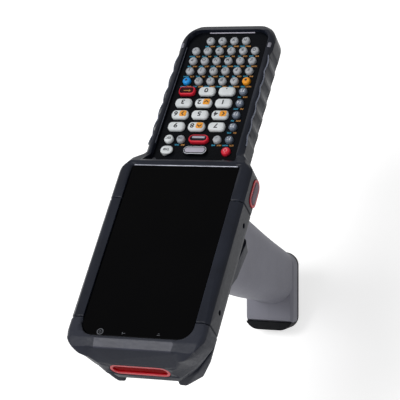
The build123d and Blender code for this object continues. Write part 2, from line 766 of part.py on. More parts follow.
def foot_outline(toe):
    """Foot outline in the sole's plane, from a distance behind the toe to the heel."""
    with BuildSketch() as outline:
        with Locations((0, foot_l / 2)):
            RectangleRounded(foot_w, foot_l, foot_r)
        if toe:
            with Locations((0, toe + foot_l / 2)):
                Rectangle(2 * foot_w, foot_l, mode=Mode.INTERSECT)
    return outline.sketch


def grip_body():
    """Whole grip with its foot, trigger slot and inner room, before it is split."""
    outer = [grip_section(index) for index in range(len(grip_sections))]
    inner = [grip_section(index, grip_wall) for index in range(*grip_room)]
    boss_half = grip_w / 2 - grip_wall / 2
    with BuildPart() as body:
        loft(outer)
        loft(inner, mode=Mode.SUBTRACT)
        for back, drop in grip_screw_places[1:]:
            with BuildSketch(Plane.YZ.offset(-boss_half)):
                with Locations((nose_y + back, -drop)):
                    Circle(boss_r)
            extrude(amount=2 * boss_half)
        with BuildSketch(sole.offset(pad_t)):
            add(foot_outline(pad_toe + seat_gap))
        extrude(amount=foot_h - pad_t - foot_bevel)
        with BuildSketch(sole.offset(foot_h - foot_bevel)):
            add(foot_outline(pad_toe + seat_gap))
        extrude(amount=foot_bevel, taper=30)
        split(bisect_by=sole.offset(pad_t + seat_gap), keep=Keep.TOP)
        # trigger slot, pin seat and switch pocket
        slot = side_profile(
            (nose_y + saddle_back, grip_top + 1),
            (nose_y + slot_back, grip_top + 1),
            (nose_y + slot_back, -slot_drop),
            (nose_y + saddle_back, -slot_drop),
        )
        extrude(slot, amount=trigger_w / 2 + trigger_gap, both=True, mode=Mode.SUBTRACT)
        with Locations(pin_place):
            Cylinder(pin_r, 2 * pin_half, rotation=(0, 90, 0), mode=Mode.SUBTRACT)
        with Locations((0, nose_y + slot_back + switch_l / 2, -switch_drop)):
            Box(
                switch_w + 2 * seat_gap,
                switch_l + 2 * seat_gap,
                switch_h + 2 * seat_gap,
                mode=Mode.SUBTRACT,
            )
    return body.part


def grip():
    """Two grip shells that meet at the middle and the screws across them."""
    whole = grip_body()
    for side, name in ((1, "right"), (-1, "left")):
        with BuildPart() as shell:
            add(whole)
            split(bisect_by=Plane.YZ, keep=Keep.TOP if side > 0 else Keep.BOTTOM)
            for back, drop in grip_screw_places:
                with BuildSketch(Plane.YZ.offset(-grip_screw_half)):
                    with Locations((nose_y + back, -drop)):
                        Circle(shank_r + screw_fit)
                extrude(amount=2 * grip_screw_half, mode=Mode.SUBTRACT)
                with BuildSketch(Plane.YZ.offset(-grip_screw_half)):
                    with Locations((nose_y + back, -drop)):
                        Circle(head_r + screw_fit)
                extrude(amount=-grip_w, mode=Mode.SUBTRACT)
        write(shell, f"grip_shell_{name}")
    with BuildPart() as screws:
        with BuildSketch(Plane.YZ.offset(-grip_screw_half)):
            for back, drop in grip_screw_places:
                with Locations((nose_y + back, -drop)):
                    Circle(head_r)
                    RegularPolygon(hex_w / 2, 6, mode=Mode.SUBTRACT)
        extrude(amount=-head_h)
        with BuildSketch(Plane.YZ.offset(-grip_screw_half)):
            for back, drop in grip_screw_places:
                with Locations((nose_y + back, -drop)):
                    Circle(shank_r)
        extrude(amount=2 * grip_screw_half - 1)
        with BuildSketch(Plane.YZ.offset(-grip_screw_half)):
            for back, drop in grip_screw_places:
                with Locations((nose_y + back, -drop)):
                    Circle(head_r)
        extrude(amount=-head_h / 2)
    write(screws, "grip_screws")


def foot_pad():
    """Rubber sole that wraps up over the toe."""
    with BuildPart() as pad:
        with BuildSketch(sole):
            add(foot_outline(0))
        extrude(amount=foot_h)
        chamfer(pad.faces().sort_by(Axis((0, 0, 0), sole.z_dir))[0].edges(), pad_edge)
        with BuildSketch(sole.offset(pad_t)):
            with Locations((0, pad_toe + foot_l / 2)):
                Rectangle(2 * foot_w, foot_l)
        extrude(amount=foot_h, mode=Mode.SUBTRACT)
    write(pad, "grip_foot")


def trigger_blade():
    """Trigger's side view: a hooked blade that hangs from its pin."""
    y, z = pin_place[1:]
    top = grip_top - blade_top_gap
    front, back = (y + blade_front, top), (y + blade_back, top)
    tip, heel, belly, spine = [
        (y + along, z - below) for along, below in (blade_tip, blade_heel, blade_belly, blade_spine)
    ]
    with BuildSketch(Plane.YZ.offset(-trigger_w / 2)) as blade:
        with BuildLine():
            ThreePointArc(front, belly, tip)
            Line(tip, heel)
            ThreePointArc(heel, spine, back)
            Line(back, front)
        make_face()
        fillet(blade.vertices(), blade_r)
    return blade.sketch


def trigger():
    pocket = spring_turns * spring_pitch + 2 * spring_wire + 2 * drop_gap
    with BuildPart() as blade:
        extrude(trigger_blade(), amount=trigger_w)
        with Locations(pin_place):
            Cylinder(pin_r + pin_fit, 2 * trigger_w, rotation=(0, 90, 0), mode=Mode.SUBTRACT)
            Cylinder(
                spring_r + spring_wire / 2 + drop_gap,
                pocket,
                rotation=(0, 90, 0),
                mode=Mode.SUBTRACT,
            )
    write(blade, "trigger")
    with BuildPart() as pin:
        with Locations(pin_place):
            Cylinder(pin_r, 2 * (pin_half - seat_gap), rotation=(0, 90, 0))
    write(pin, "trigger_pin")
    start = (-spring_turns * spring_pitch / 2, *pin_place[1:])
    with BuildPart() as spring:
        with BuildLine() as path:
            Helix(
                spring_pitch,
                spring_turns * spring_pitch,
                spring_r,
                center=start,
                direction=(1, 0, 0),
            )
        with BuildSketch(Plane(origin=path.line @ 0, z_dir=path.line % 0)):
            RegularPolygon(spring_wire / 2, 6)
        sweep(path=path.line, is_frenet=True)
    write(spring, "trigger_spring")
    with BuildPart() as switch:
        with Locations((0, nose_y + slot_back + switch_l / 2, -switch_drop)):
            Box(switch_w, switch_l, switch_h)
        face = Plane(origin=(0, nose_y + slot_back, -switch_drop), z_dir=(0, -1, 0))
        with BuildSketch(face):
            Circle(plunger_r)
        extrude(amount=plunger_l)
    write(switch, "trigger_switch")


front_housing()
rear_housing()
screws()
dock_contacts()
display()
scan_window()
scan_engine()
main_board()
keypad()
battery()
side_buttons()
saddle()
grip()
foot_pad()
trigger()
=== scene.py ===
import json
import math
import bpy
import bmesh
from mathutils import Matrix, Vector


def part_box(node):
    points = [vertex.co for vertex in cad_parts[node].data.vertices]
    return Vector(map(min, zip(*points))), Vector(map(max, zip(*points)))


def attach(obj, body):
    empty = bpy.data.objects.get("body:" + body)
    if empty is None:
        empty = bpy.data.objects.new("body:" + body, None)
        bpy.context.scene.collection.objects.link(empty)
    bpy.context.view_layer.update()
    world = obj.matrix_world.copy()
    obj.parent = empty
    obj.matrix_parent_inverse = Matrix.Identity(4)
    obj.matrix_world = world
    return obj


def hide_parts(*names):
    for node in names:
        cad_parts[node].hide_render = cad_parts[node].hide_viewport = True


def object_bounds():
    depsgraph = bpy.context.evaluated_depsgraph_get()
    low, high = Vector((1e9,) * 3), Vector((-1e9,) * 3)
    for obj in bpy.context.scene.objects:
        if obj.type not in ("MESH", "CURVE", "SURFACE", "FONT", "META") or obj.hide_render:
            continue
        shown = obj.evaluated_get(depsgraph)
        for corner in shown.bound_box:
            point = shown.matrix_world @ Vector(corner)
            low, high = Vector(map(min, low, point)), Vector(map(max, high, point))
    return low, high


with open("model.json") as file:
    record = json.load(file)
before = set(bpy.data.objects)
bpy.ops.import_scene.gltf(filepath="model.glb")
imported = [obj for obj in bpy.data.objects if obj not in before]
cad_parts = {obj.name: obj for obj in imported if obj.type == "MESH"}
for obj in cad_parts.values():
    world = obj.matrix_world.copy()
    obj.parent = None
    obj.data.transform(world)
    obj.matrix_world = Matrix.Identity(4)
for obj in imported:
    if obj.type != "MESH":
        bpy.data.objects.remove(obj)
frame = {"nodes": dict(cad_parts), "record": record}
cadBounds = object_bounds()
nodes = frame["nodes"]
mm = 0.001
weld = 0.002 * mm  # points closer than this are one
film = 0.05 * mm  # how far printed ink stands on its surface
cornerSteps = 5


def toLinear(code):  # sRGB hex to linear colour
    parts = [int(code[i:i + 2], 16) / 255 for i in (1, 3, 5)]
    return [p / 12.92 if p <= 0.04045 else ((p + 0.055) / 1.055) ** 2.4 for p in parts] + [1.0]


def addNode(tree, kind, settings=None, links=None):  # capitals and numbers are sockets
    node = tree.nodes.new(kind)
    for key, value in (settings or {}).items():
        if isinstance(key, int) or key[0].isupper():
            node.inputs[key].default_value = value
        else:
            setattr(node, key, value)
    for key, source in (links or {}).items():
        tree.links.new(source, node.inputs[key])
    return node


def nodeBox(name):
    low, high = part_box(name)
    return low, high, (low + high) / 2


def metres(x, y, z):
    return Vector((x * mm, y * mm, z * mm))


def placed(name, mesh, body, materials, hides=()):  # a finished piece, which rides on its body
    for material in materials[len(mesh.materials):]:  # a copied or grown mesh brings its first one
        mesh.materials.append(material)
    piece = bpy.data.objects.new(name, mesh)
    bpy.context.scene.collection.objects.link(piece)
    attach(piece, body)
    for node in hides:
        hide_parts(node)
    return piece


def meshFrom(bm, name):
    mesh = bpy.data.meshes.new(name)
    bm.to_mesh(mesh)
    bm.free()
    return mesh


def closedMesh(bm, name):  # welded, with all faces outwards
    bmesh.ops.remove_doubles(bm, verts=bm.verts, dist=weld)
    bmesh.ops.dissolve_degenerate(bm, edges=bm.edges, dist=weld / 2)
    bmesh.ops.recalc_face_normals(bm, faces=bm.faces)
    return meshFrom(bm, name)


def roundedRing(width, depth, radius):
    radius = min(radius, width / 2, depth / 2)
    ring = []
    for sideX, sideY, start in ((1, 1, 0), (-1, 1, 90), (-1, -1, 180), (1, -1, 270)):
        for step in range(cornerSteps + 1):
            angle = math.radians(start + 90 * step / cornerSteps)
            x = sideX * (width / 2 - radius) + radius * math.cos(angle)
            y = sideY * (depth / 2 - radius) + radius * math.sin(angle)
            ring.append((x, y))
    return ring


def ringSolid(name, spot, rings):  # stacked rings of (width, depth, radius, z, material), in mm
    bm = bmesh.new()
    centre = Vector((spot[0], spot[1], 0))
    loops = []
    for width, depth, radius, z, index in rings:
        outline = roundedRing(width, depth, radius)
        loops.append([bm.verts.new(centre + metres(x, y, z)) for x, y in outline])
    bm.faces.new(list(reversed(loops[0]))).material_index = rings[0][4]
    for lower, upper, ring in zip(loops, loops[1:], rings[1:]):
        for i in range(len(lower)):
            j = (i + 1) % len(lower)
            face = bm.faces.new((lower[i], lower[j], upper[j], upper[i]))
            face.material_index = ring[4]
            face.smooth = True
    top = bm.faces.new(loops[-1])
    top.material_index = rings[-1][4]
    top.smooth = True
    return closedMesh(bm, name)


def insetRings(size, top, steps, rounding=1.0):  # rings from steps of (inset, height, material)
    width, depth, corner = size
    return [(width - 2 * inset, depth - 2 * inset, corner - rounding * inset, top + height, index)
            for inset, height, index in steps]


# finishes: colours, roughness, sizes of grain, patches and lighter edges in mm, depth of the bump,
# colour of the edges, partly rubbed wear and partly a painted highlight, and mirror, the share of
# the reflection that texture or a coat leaves, where 0.5 is a bare surface
plain = {"grain": 1.2, "depth": 0.02, "patch": 8, "edge": None, "edgeWidth": 0.3, "ior": 1.5,
         "mirror": 0.5, "metallic": 0.0}
# silicone rubber with a polyurethane coat: soft, nearly matt
silicone = {"rough": (0.42, 0.52), "grain": 1.4, "ior": 1.45}
# screen-printed ink: a flat dull film with slight mottling
ink = {"rough": (0.5, 0.6), "depth": 0.0, "patch": 3}
# polished or plated metal: a clear, slightly blurred mirror
metal = {"grain": 1.0, "patch": 3, "metallic": 1.0}
finishes = {
    # glass-filled PC/ABS, spark-eroded mould: broad dull highlights, slightly blue charcoal
    "mouldedHousing": {"base": "#1a1d28", "second": "#222530", "rough": (0.42, 0.54), "grain": 1.3,
                       "depth": 0.045, "patch": 28, "edge": "#4b4d59", "edgeWidth": 0.5, "ior": 1.52,
                       "mirror": 0.2},
    # the same housing on the nose's brow slope, lighter there as a painted highlight, with a stronger
    # sheen
    "paintedBrowHighlight": {"base": "#262835", "second": "#2e303f", "rough": (0.34, 0.44), "grain": 1.3,
                 "depth": 0.03, "patch": 20, "edge": "#5b5d6b", "edgeWidth": 0.5, "ior": 1.52,
                 "mirror": 0.28},
    # satin PC rail, from a smoother mould than the housing: darker, with a sharper sheen
    "satinRail": {"base": "#131620", "second": "#1b1f2a", "rough": (0.28, 0.40), "grain": 1.6,
                  "patch": 22, "edge": "#3e4250", "edgeWidth": 0.5, "ior": 1.55, "mirror": 0.12},
    # the same satin PC, pale, for the beads that stand for thin highlights along the rail: a painted
    # highlight
    "railHighlightPaint": {"base": "#5a6070", "second": "#747a8c", "rough": (0.22, 0.34), "grain": 1.6,
                  "depth": 0.01, "patch": 9, "ior": 1.55},
    # grey PC/ABS grip, fine spark texture rubbed by hands: even and nearly matt
    "mouldedGrip": {"base": "#85858f", "second": "#8d8d98", "rough": (0.50, 0.62), "grain": 1.3,
                    "depth": 0.035, "patch": 30, "edge": "#82828b", "edgeWidth": 0.5, "ior": 1.52,
                    "mirror": 0.25},
    # moulded SBR sole, dull, with dust in its texture
    "soleRubber": {"base": "#0d0e11", "second": "#141518", "rough": (0.62, 0.78), "depth": 0.06,
                   "patch": 12, "edge": "#2c2d32", "edgeWidth": 0.5, "mirror": 0.15},
    # acetal trigger: waxy satin
    "acetalTrigger": {"base": "#18191e", "second": "#202127", "rough": (0.34, 0.44), "grain": 2.0,
                      "depth": 0.015, "patch": 14, "edge": "#3a3c44", "edgeWidth": 0.5, "ior": 1.48},
    # hardened cover glass printed black on its back, with an anti-reflective coat: deep black
    "coverGlass": {"base": "#010102", "second": "#020203", "rough": (0.05, 0.10), "grain": 6,
                   "depth": 0.0, "patch": 40, "mirror": 0.03},
    # black lacquered polycarbonate key plate: smooth and dark, with a faint sheen
    "lacquerPlate": {"base": "#07080b", "second": "#0b0d12", "rough": (0.22, 0.34), "grain": 1.5,
                     "patch": 18, "edge": "#20232a", "edgeWidth": 0.25, "mirror": 0.04},
    "siliconeGrey": {**silicone, "base": "#a9adb3", "second": "#b7babf", "patch": 6, "edge": "#c9ccd0"},
    "siliconeSlate": {**silicone, "base": "#5a6472", "second": "#667080", "patch": 6, "edge": "#a4abb8"},
    "siliconeWhite": {**silicone, "base": "#dfe4e6", "second": "#e9edef", "edge": "#eceff0"},
    "siliconeBlack": {**silicone, "base": "#101116", "second": "#17181d", "edge": "#2a2b31",
                      "mirror": 0.12},
    "siliconeRed": {**silicone, "base": "#d81c34", "second": "#e4283e", "rough": (0.36, 0.48),
                    "edge": "#f04a5a", "mirror": 0.3},
    "siliconeMaroon": {**silicone, "base": "#2a0509", "second": "#38080e", "rough": (0.40, 0.50),
                       "mirror": 0.1},
    "siliconeBlue": {**silicone, "base": "#0a8fe0", "second": "#149cec", "rough": (0.40, 0.50),
                     "edge": "#50b4ec"},
    "siliconeOrange": {**silicone, "base": "#ee9418", "second": "#f6a022", "rough": (0.40, 0.50),
                       "edge": "#f6b866"},
    "siliconeLilac": {**silicone, "base": "#aeaab9", "second": "#b9b5c3", "rough": (0.40, 0.50),
                      "edge": "#d2cfda"},
    # coated red acrylic over a dark engine: saturated, hardly any mirror
    "redAcrylic": {"base": "#8a0003", "second": "#9a0006", "rough": (0.20, 0.30), "grain": 5,
                   "depth": 0.0, "patch": 16, "ior": 1.49, "mirror": 0.01},
    # red moulded PC ring: bright satin
    "redRing": {"base": "#c41c2c", "second": "#d42838", "rough": (0.34, 0.44), "grain": 1.5,
                "patch": 10, "edge": "#e26068", "ior": 1.55},
    # mauve TPE button, finely textured: soft and dull
    "buttonElastomer": {"base": "#5a4452", "second": "#68515f", "rough": (0.50, 0.62), "depth": 0.03,
                        "patch": 6, "edge": "#86707c"},
    # pale grey satin metal for the strip at the glass's edge, which stands for the light caught by the
    # rim's bevel: a painted highlight, softly blurred
    "glassEdgeHighlight": {**metal, "base": "#84868f", "second": "#9a9ca5", "rough": (0.28, 0.40), "patch": 6},
    # zinc-plated steel screws: mid grey, with small clear glints
    "zincSteel": {**metal, "base": "#6f7074", "second": "#7d7e82", "rough": (0.30, 0.44)},
    # gold-flashed contacts: warm yellow, nearly polished
    "goldFlash": {**metal, "base": "#d8b45c", "second": "#e0c06c", "rough": (0.22, 0.32), "depth": 0.01},
    # solder mask over FR4: glossy green skin
    "solderMask": {"base": "#0d4a2c", "second": "#115635", "rough": (0.30, 0.42), "grain": 1.5,
                   "patch": 9},
    # black LCP and epoxy of modules: dull black
    "moduleEpoxy": {"base": "#16171a", "second": "#1e1f22", "rough": (0.45, 0.58), "edge": "#2c2d30"},
    "blackInk": {**ink, "base": "#14151b", "second": "#1c1d24"},
    "greyInk": {**ink, "base": "#3e4046", "second": "#4a4c52"},
    "whiteInk": {**ink, "base": "#d4d9e2", "second": "#e2e6ee"},
    "tealInk": {**ink, "base": "#1f86a8", "second": "#2a94b6"},
    "amberInk": {**ink, "base": "#b9803c", "second": "#c88e48"},
    "orangePatch": {**ink, "base": "#f09a1c", "second": "#f8a82c", "rough": (0.45, 0.55)},
    # pale pink ink, partly a painted highlight on the power key
    "roseInk": {**ink, "base": "#f0909c", "second": "#f8a2ac"},
    "brownInk": {**ink, "base": "#2c1508", "second": "#361b0c"},
}
# shares of the noise where colour and roughness turn, how far a rounded edge has to leave the flat
# face before it is painted lighter, as rubbed wear and painted highlight, and how strongly
pattern = {"patchDetail": 3.0, "grainDetail": 2.0, "mottle": (0.35, 0.65), "grainSpan": (0.3, 0.7),
           "edgeWearAndHighlight": (0.995, 0.90), "wearAndHighlightMost": 0.8, "edgeSamples": 6, "bump": 0.6}


def makeFinish(name, changes):
    look = {**plain, **changes}
    material = bpy.data.materials.new(name)
    material.use_nodes = True
    tree = material.node_tree
    tree.nodes.clear()
    place = addNode(tree, "ShaderNodeTexCoord").outputs["Object"]
    # broad mottling from flow and handling
    patch = addNode(tree, "ShaderNodeTexNoise", {"Scale": 1 / (look["patch"] * mm),
                    "Detail": pattern["patchDetail"]}, {"Vector": place})
    # mould grain, drawn a few times coarser than its real 0.3 mm so that it shows
    grain = addNode(tree, "ShaderNodeTexNoise", {"Scale": 1 / (look["grain"] * mm),
                    "Detail": pattern["grainDetail"]}, {"Vector": place})
    mix = addNode(tree, "ShaderNodeValToRGB", {}, {"Fac": patch.outputs["Fac"]})
    for stop, position, code in zip(mix.color_ramp.elements, pattern["mottle"],
                                    (look["base"], look["second"])):
        stop.position = position
        stop.color = toLinear(code)
    colour = mix.outputs["Color"]
    rounded = addNode(tree, "ShaderNodeBevel", {"samples": pattern["edgeSamples"],
                      "Radius": look["edgeWidth"] * mm})
    if look["edge"]:  # edges painted lighter where the rounded normal leaves the flat one: partly rubbed wear, partly a painted highlight
        flat = addNode(tree, "ShaderNodeNewGeometry").outputs["Normal"]
        agree = addNode(tree, "ShaderNodeVectorMath", {"operation": "DOT_PRODUCT"},
                        {0: rounded.outputs["Normal"], 1: flat})
        start, full = pattern["edgeWearAndHighlight"]
        edgeWearAndHighlight = addNode(tree, "ShaderNodeMapRange", {"From Min": start, "From Max": full,
                      "To Min": 0.0, "To Max": pattern["wearAndHighlightMost"]}, {"Value": agree.outputs["Value"]})
        wearAndHighlight = addNode(tree, "ShaderNodeMath", {"operation": "MULTIPLY"},
                       {0: edgeWearAndHighlight.outputs["Result"], 1: patch.outputs["Fac"]})
        blend = addNode(tree, "ShaderNodeMix", {"data_type": "RGBA", 7: toLinear(look["edge"])},
                        {"Factor": wearAndHighlight.outputs["Value"], 6: colour})
        colour = blend.outputs[2]
    low, high = look["rough"]
    grainLow, grainHigh = pattern["grainSpan"]
    rough = addNode(tree, "ShaderNodeMapRange", {"From Min": grainLow, "From Max": grainHigh,
                    "To Min": low, "To Max": high}, {"Value": grain.outputs["Fac"]})
    surface = addNode(tree, "ShaderNodeBsdfPrincipled", {"Metallic": look["metallic"],
                      "IOR": look["ior"], "Specular IOR Level": look["mirror"]},
                      {"Base Color": colour, "Roughness": rough.outputs["Result"]})
    normal = rounded.outputs["Normal"]
    if look["depth"]:
        bump = addNode(tree, "ShaderNodeBump", {"Strength": pattern["bump"],
                       "Distance": look["depth"] * mm}, {"Height": grain.outputs["Fac"], "Normal": normal})
        normal = bump.outputs["Normal"]
    tree.links.new(normal, surface.inputs["Normal"])
    addNode(tree, "ShaderNodeOutputMaterial", {}, {"Surface": surface.outputs["BSDF"]})
    return material


paint = {name: makeFinish(name, changes) for name, changes in finishes.items()}
slotFinish = {
    "frame": "mouldedHousing", "rail": "satinRail", "grip": "mouldedGrip", "foot": "soleRubber",
    "trigger": "acetalTrigger", "screen": "coverGlass", "panel": "coverGlass",
    "plate": "lacquerPlate", "mat": "siliconeBlack", "board": "solderMask",
    "module": "moduleEpoxy", "steel": "zincSteel", "spring": "zincSteel",
    "contact": "goldFlash", "bezel_red": "redRing", "window_red": "redAcrylic",
    "button_mauve": "buttonElastomer", "key_grey": "siliconeGrey",
    "key_white": "siliconeWhite", "key_dark": "siliconeBlack", "key_red": "siliconeRed",
    "key_blue": "siliconeBlue", "key_orange": "siliconeOrange",
}
for part in frame["record"]["subparts"]:
    node = nodes[part["node"]]
    node.data.materials.clear()
    node.data.materials.append(paint[slotFinish[part["material_slot"]]])
print("materials:", len(paint))

# housing shells, eased into sides that lean in under the body
bodyForm = {
    # along Y: upright half width, how far it is drawn in, height of the knee, lean below it
    "y": (57.5, 70.0, 168.5), "half": (42.0, 34.3, 30.5), "slim": (0.0, 2.9, -0.3),
    "knee": (-14.5, -18.0, -18.0), "lean": (0.625, 0.554, 0.554), "bevel": (-31.0, -23.5, -23.5),
    "draft": 0.105, "frontFoot": -17.5, "core": 23.5, "rail": 4.2, "leanFrom": 3.0,
    # parting line of the nose, which climbs towards its corners
    "nose": (-60.5, -46.5), "low": -24.5, "high": -17.5, "brow": -12.0, "belly": -34.0,
    "climbX": (26.0, 41.0), "climb": 8.5,
    # rounder nose corners below the brow: where they start and end across, and how deep
    "corner": ((22.0, 30.0, 3.4), (35.0, 41.0, 2.0)), "cornerZ": (-4.0, -14.0),
    "cornerY": (-46.0, -61.0),
    # the brow's slope ends short of the corners, which bulge
    "bulge": 0.5, "bulgeX": (23.5, 27.0), "bulgeY": (-58.2, -59.6), "bulgeZ": (-12.0, -18.0),
    "rim": 0.8,
    # small chamfers that open the housing's seams
    "seams": (-46.5, 34.0), "seamReach": 0.25, "seamDepth": 0.45, "seamSide": 38.0,
    "skin": 0.05, "sharp": 24,
}
browFacet = {"reach": 24.0, "up": 0.5, "front": -0.25, "sharp": 34}  # the nose's slope that gets the painted highlight
shellCuts = {  # planes that the easing can bend at
    "z": (-12, -14.5, -17.5, -18, -21, -23.5, -26, -28.5, -31),
    "y": (-64, -60.5, -56, -51, -47.3, -45.7, 33.2, 34.8, 57.5, 61, 65.5, 70),
    "x": (23.5, 27, 31, 36, 41, -23.5, -27, -31, -36, -41),
}
shells = {
    "front": ["nose_bumper", "side_rail_left", "side_rail_right", "keypad_frame", "key_plate",
              "key_mat", "keypad_board"],
    "rear": ["rear_housing", "housing_screws", "battery_pack", "battery_latch"],
}


def between(value, low, high):  # share of the way from low to high
    return min(max((value - low) / (high - low), 0), 1)


def alongBody(name, y):
    stops, values = bodyForm["y"], bodyForm[name]
    if y <= stops[1]:
        return values[0] + (values[1] - values[0]) * between(y, stops[0], stops[1])
    return values[1] + (values[2] - values[1]) * between(y, stops[1], stops[2])


def climbedHeight(x, y, z):  # lifts the parting line at the nose's corners
    low, high, brow, belly = [bodyForm[name] for name in ("low", "high", "brow", "belly")]
    back = between(y, *bodyForm["nose"])
    parting = low + (high - low) * back
    lifted = parting + bodyForm["climb"] * between(abs(x), *bodyForm["climbX"]) * (1 - back)
    if z >= brow or z <= belly:
        return z
    if z >= parting:
        return brow + (z - brow) * (lifted - brow) / (parting - brow)
    return belly + (z - belly) * (lifted - belly) / (parting - belly)


def bulgedHeight(x, y, z):  # fills the corners beside the brow
    rise = bodyForm["rim"] - max(z, bodyForm["bulgeZ"][0])
    rise *= 1 - between(z, *bodyForm["bulgeZ"])
    across = between(abs(x), *bodyForm["bulgeX"])
    return z + rise * bodyForm["bulge"] * across * between(y, *bodyForm["bulgeY"])


def easedPoint(point, kind):
    x, y, z = [value / mm for value in point]
    sunk = 0.0
    if kind == "front":
        z = bulgedHeight(x, y, z)
        if min(abs(y - seam) for seam in bodyForm["seams"]) < bodyForm["seamReach"]:
            sunk = bodyForm["seamDepth"]
            z -= sunk * between(z, *reversed(bodyForm["cornerZ"]))
    half, slim, knee, lean, bevel = [
        alongBody(name, y) for name in ("half", "slim", "knee", "lean", "bevel")]
    height = climbedHeight(x, y, z)
    reach, edge, core = abs(x), half - bodyForm["rail"], bodyForm["core"]
    wide = half - slim
    if kind == "front":
        if reach > bodyForm["seamSide"]:
            reach -= sunk
        if reach > edge:
            reach -= slim
        elif reach > core:
            reach = core + (reach - core) * (edge - slim - core) / (edge - core)
        reach -= lean * max(knee - height, 0) * between(reach, core - bodyForm["leanFrom"], wide)
    else:
        upper = max(z, bevel)
        drawn = half - bodyForm["draft"] * max(bodyForm["frontFoot"] - upper, 0)
        leaning = wide - lean * max(knee - max(height, bevel), 0)
        reach *= leaning / drawn
    shift = sum(depth * between(abs(x), start, end) for start, end, depth in bodyForm["corner"])
    shift *= between(height, *bodyForm["cornerZ"]) * between(y, *bodyForm["cornerY"])
    return metres(math.copysign(reach, x), y + shift, height)


def bodyOf(name):
    return next(body for body, names in frame["record"]["behaviour"]["bodies"].items()
                if name in names)


def easedShell(name, kind):
    bm = bmesh.new()
    bm.from_mesh(nodes[name].data)
    bmesh.ops.remove_doubles(bm, verts=bm.verts, dist=weld)
    bmesh.ops.triangulate(bm, faces=bm.faces)
    for axis, places in shellCuts.items():
        for at in places:
            plane = Vector([float(axis == letter) for letter in "xyz"])
            bmesh.ops.bisect_plane(bm, geom=bm.verts[:] + bm.edges[:] + bm.faces[:], dist=weld,
                                   plane_co=plane * (at * mm), plane_no=plane)
    bmesh.ops.triangulate(bm, faces=[face for face in bm.faces if len(face.verts) > 4])
    belly, skin = bodyForm["belly"], bodyForm["skin"]
    for vertex in bm.verts:
        if vertex.co.z < (belly - skin) * mm:  # the plain lugs give way to full feet
            vertex.co.z = (belly + skin) * mm
        vertex.co = easedPoint(vertex.co, kind)
    mesh = closedMesh(bm, name + "Form")
    isNose = name == "nose_bumper"
    for polygon in mesh.polygons:
        polygon.use_smooth = True
        facing = polygon.normal
        # brow faces that face up and forwards get the lighter finish, a painted highlight
        inside = isNose and abs(polygon.center.x) < browFacet["reach"] * mm
        if inside and facing.z > browFacet["up"] and facing.y < browFacet["front"]:
            polygon.material_index = 1
    mesh.set_sharp_from_angle(angle=math.radians((browFacet if isNose else bodyForm)["sharp"]))
    finish = paint["satinRail"] if name == "keypad_frame" else nodes[name].data.materials[0]
    materials = [finish, paint["paintedBrowHighlight"]] if isNose else [finish]
    piece = placed(name + "Form", mesh, bodyOf(name), materials, hides=[name])
    piece.modifiers.new("weights", "WEIGHTED_NORMAL").keep_sharp = True


for kind, names in shells.items():
    for name in names:
        easedShell(name, kind)

# feet under the nose's corners, each from its tip up to the body's side
noseFoot = {
    "points": [(16.0, -64.0, -32.0), (16.4, -66.0, -37.2), (20.9, -66.0, -37.6), (16.4, -58.0, -37.2),
               (24.0, -56.0, -37.0), (30.6, -60.5, -35.2), (30.0, -52.0, -34.0), (37.0, -57.0, -25.5),
               (36.5, -46.0, -24.0), (41.6, -53.5, -15.6), (41.6, -45.0, -15.6), (38.0, -50.0, -15.6),
               (30.0, -63.0, -27.0)],
    "soft": 1.2, "softSteps": 3,
}
sides = {"right": 1, "left": -1}
for label, side in sides.items():
    bm = bmesh.new()
    for x, y, z in noseFoot["points"]:
        bm.verts.new(metres(side * x, y, z))
    bmesh.ops.convex_hull(bm, input=bm.verts)
    mesh = closedMesh(bm, "noseFoot")
    for polygon in mesh.polygons:
        polygon.use_smooth = True
    piece = placed("noseFoot." + label, mesh, "housing", [paint["mouldedHousing"]])
    soften = piece.modifiers.new("soften", "BEVEL")
    soften.width = noseFoot["soft"] * mm
    soften.segments = noseFoot["softSteps"]
    soften.harden_normals = True

# foot of the grip, drawn in at its toe, most up to "full" above the sole and none from "none"
sole = {"toe": (56.4, -187.2), "tilt": 38.5, "length": 54.0, "shorter": 3.5, "wider": 1.03,
        "full": 14.0, "none": 62.0, "clear": 0.02}
# the saddle's wings, which flare from its nose
wings = {"core": 18.5, "y": (-7.5, 22.0), "spread": (0.9, 1.4), "end": 33.6}


def easedFoot(point):
    x, y, z = [value / mm for value in point]
    cos, sin = math.cos(math.radians(sole["tilt"])), math.sin(math.radians(sole["tilt"]))
    along = (y - sole["toe"][0]) * cos + (z - sole["toe"][1]) * sin
    above = (z - sole["toe"][1]) * cos - (y - sole["toe"][0]) * sin
    share = 1 - between(above, sole["full"], sole["none"])
    share = share * share * (3 - 2 * share)  # smooth at both ends
    shrunk = along * (1 - sole["shorter"] / sole["length"])
    y += share * (sole["shorter"] + (shrunk - along) * cos)
    z += share * (shrunk - along) * sin
    lowest = cadBounds[0][2] + sole["clear"] * mm
    return Vector((x * (1 + (sole["wider"] - 1) * share) * mm, y * mm, max(z * mm, lowest)))


def easedWing(point):
    x, y, z = [value / mm for value in point]
    low, high = wings["spread"]
    spread = low + (high - low) * between(y, *wings["y"])
    reach = abs(x)
    if reach > wings["core"] and y < wings["end"]:
        reach = wings["core"] + (reach - wings["core"]) * spread
    return metres(math.copysign(reach, x), y, z)


easedParts = {"grip_foot": easedFoot, "grip_shell_left": easedFoot, "grip_shell_right": easedFoot,
              "grip_screws": easedFoot, "grip_saddle": easedWing}
for name, ease in easedParts.items():
    mesh = nodes[name].data.copy()  # keeps the solid's own normals, which bend with it
    mesh.name = name + "Form"
    for vertex in mesh.vertices:
        vertex.co = ease(vertex.co)
    placed(name + "Form", mesh, "housing", [nodes[name].data.materials[0]], hides=[name])
print("shells eased")


def startTree(name, inputs):  # a geometry tree with named inputs
    tree = bpy.data.node_groups.new(name, "GeometryNodeTree")
    for label, kind in inputs.items():
        tree.interface.new_socket(label, in_out="INPUT", socket_type="NodeSocket" + kind)
    tree.interface.new_socket("Geometry", in_out="OUTPUT", socket_type="NodeSocketGeometry")
    return tree, addNode(tree, "NodeGroupInput").outputs


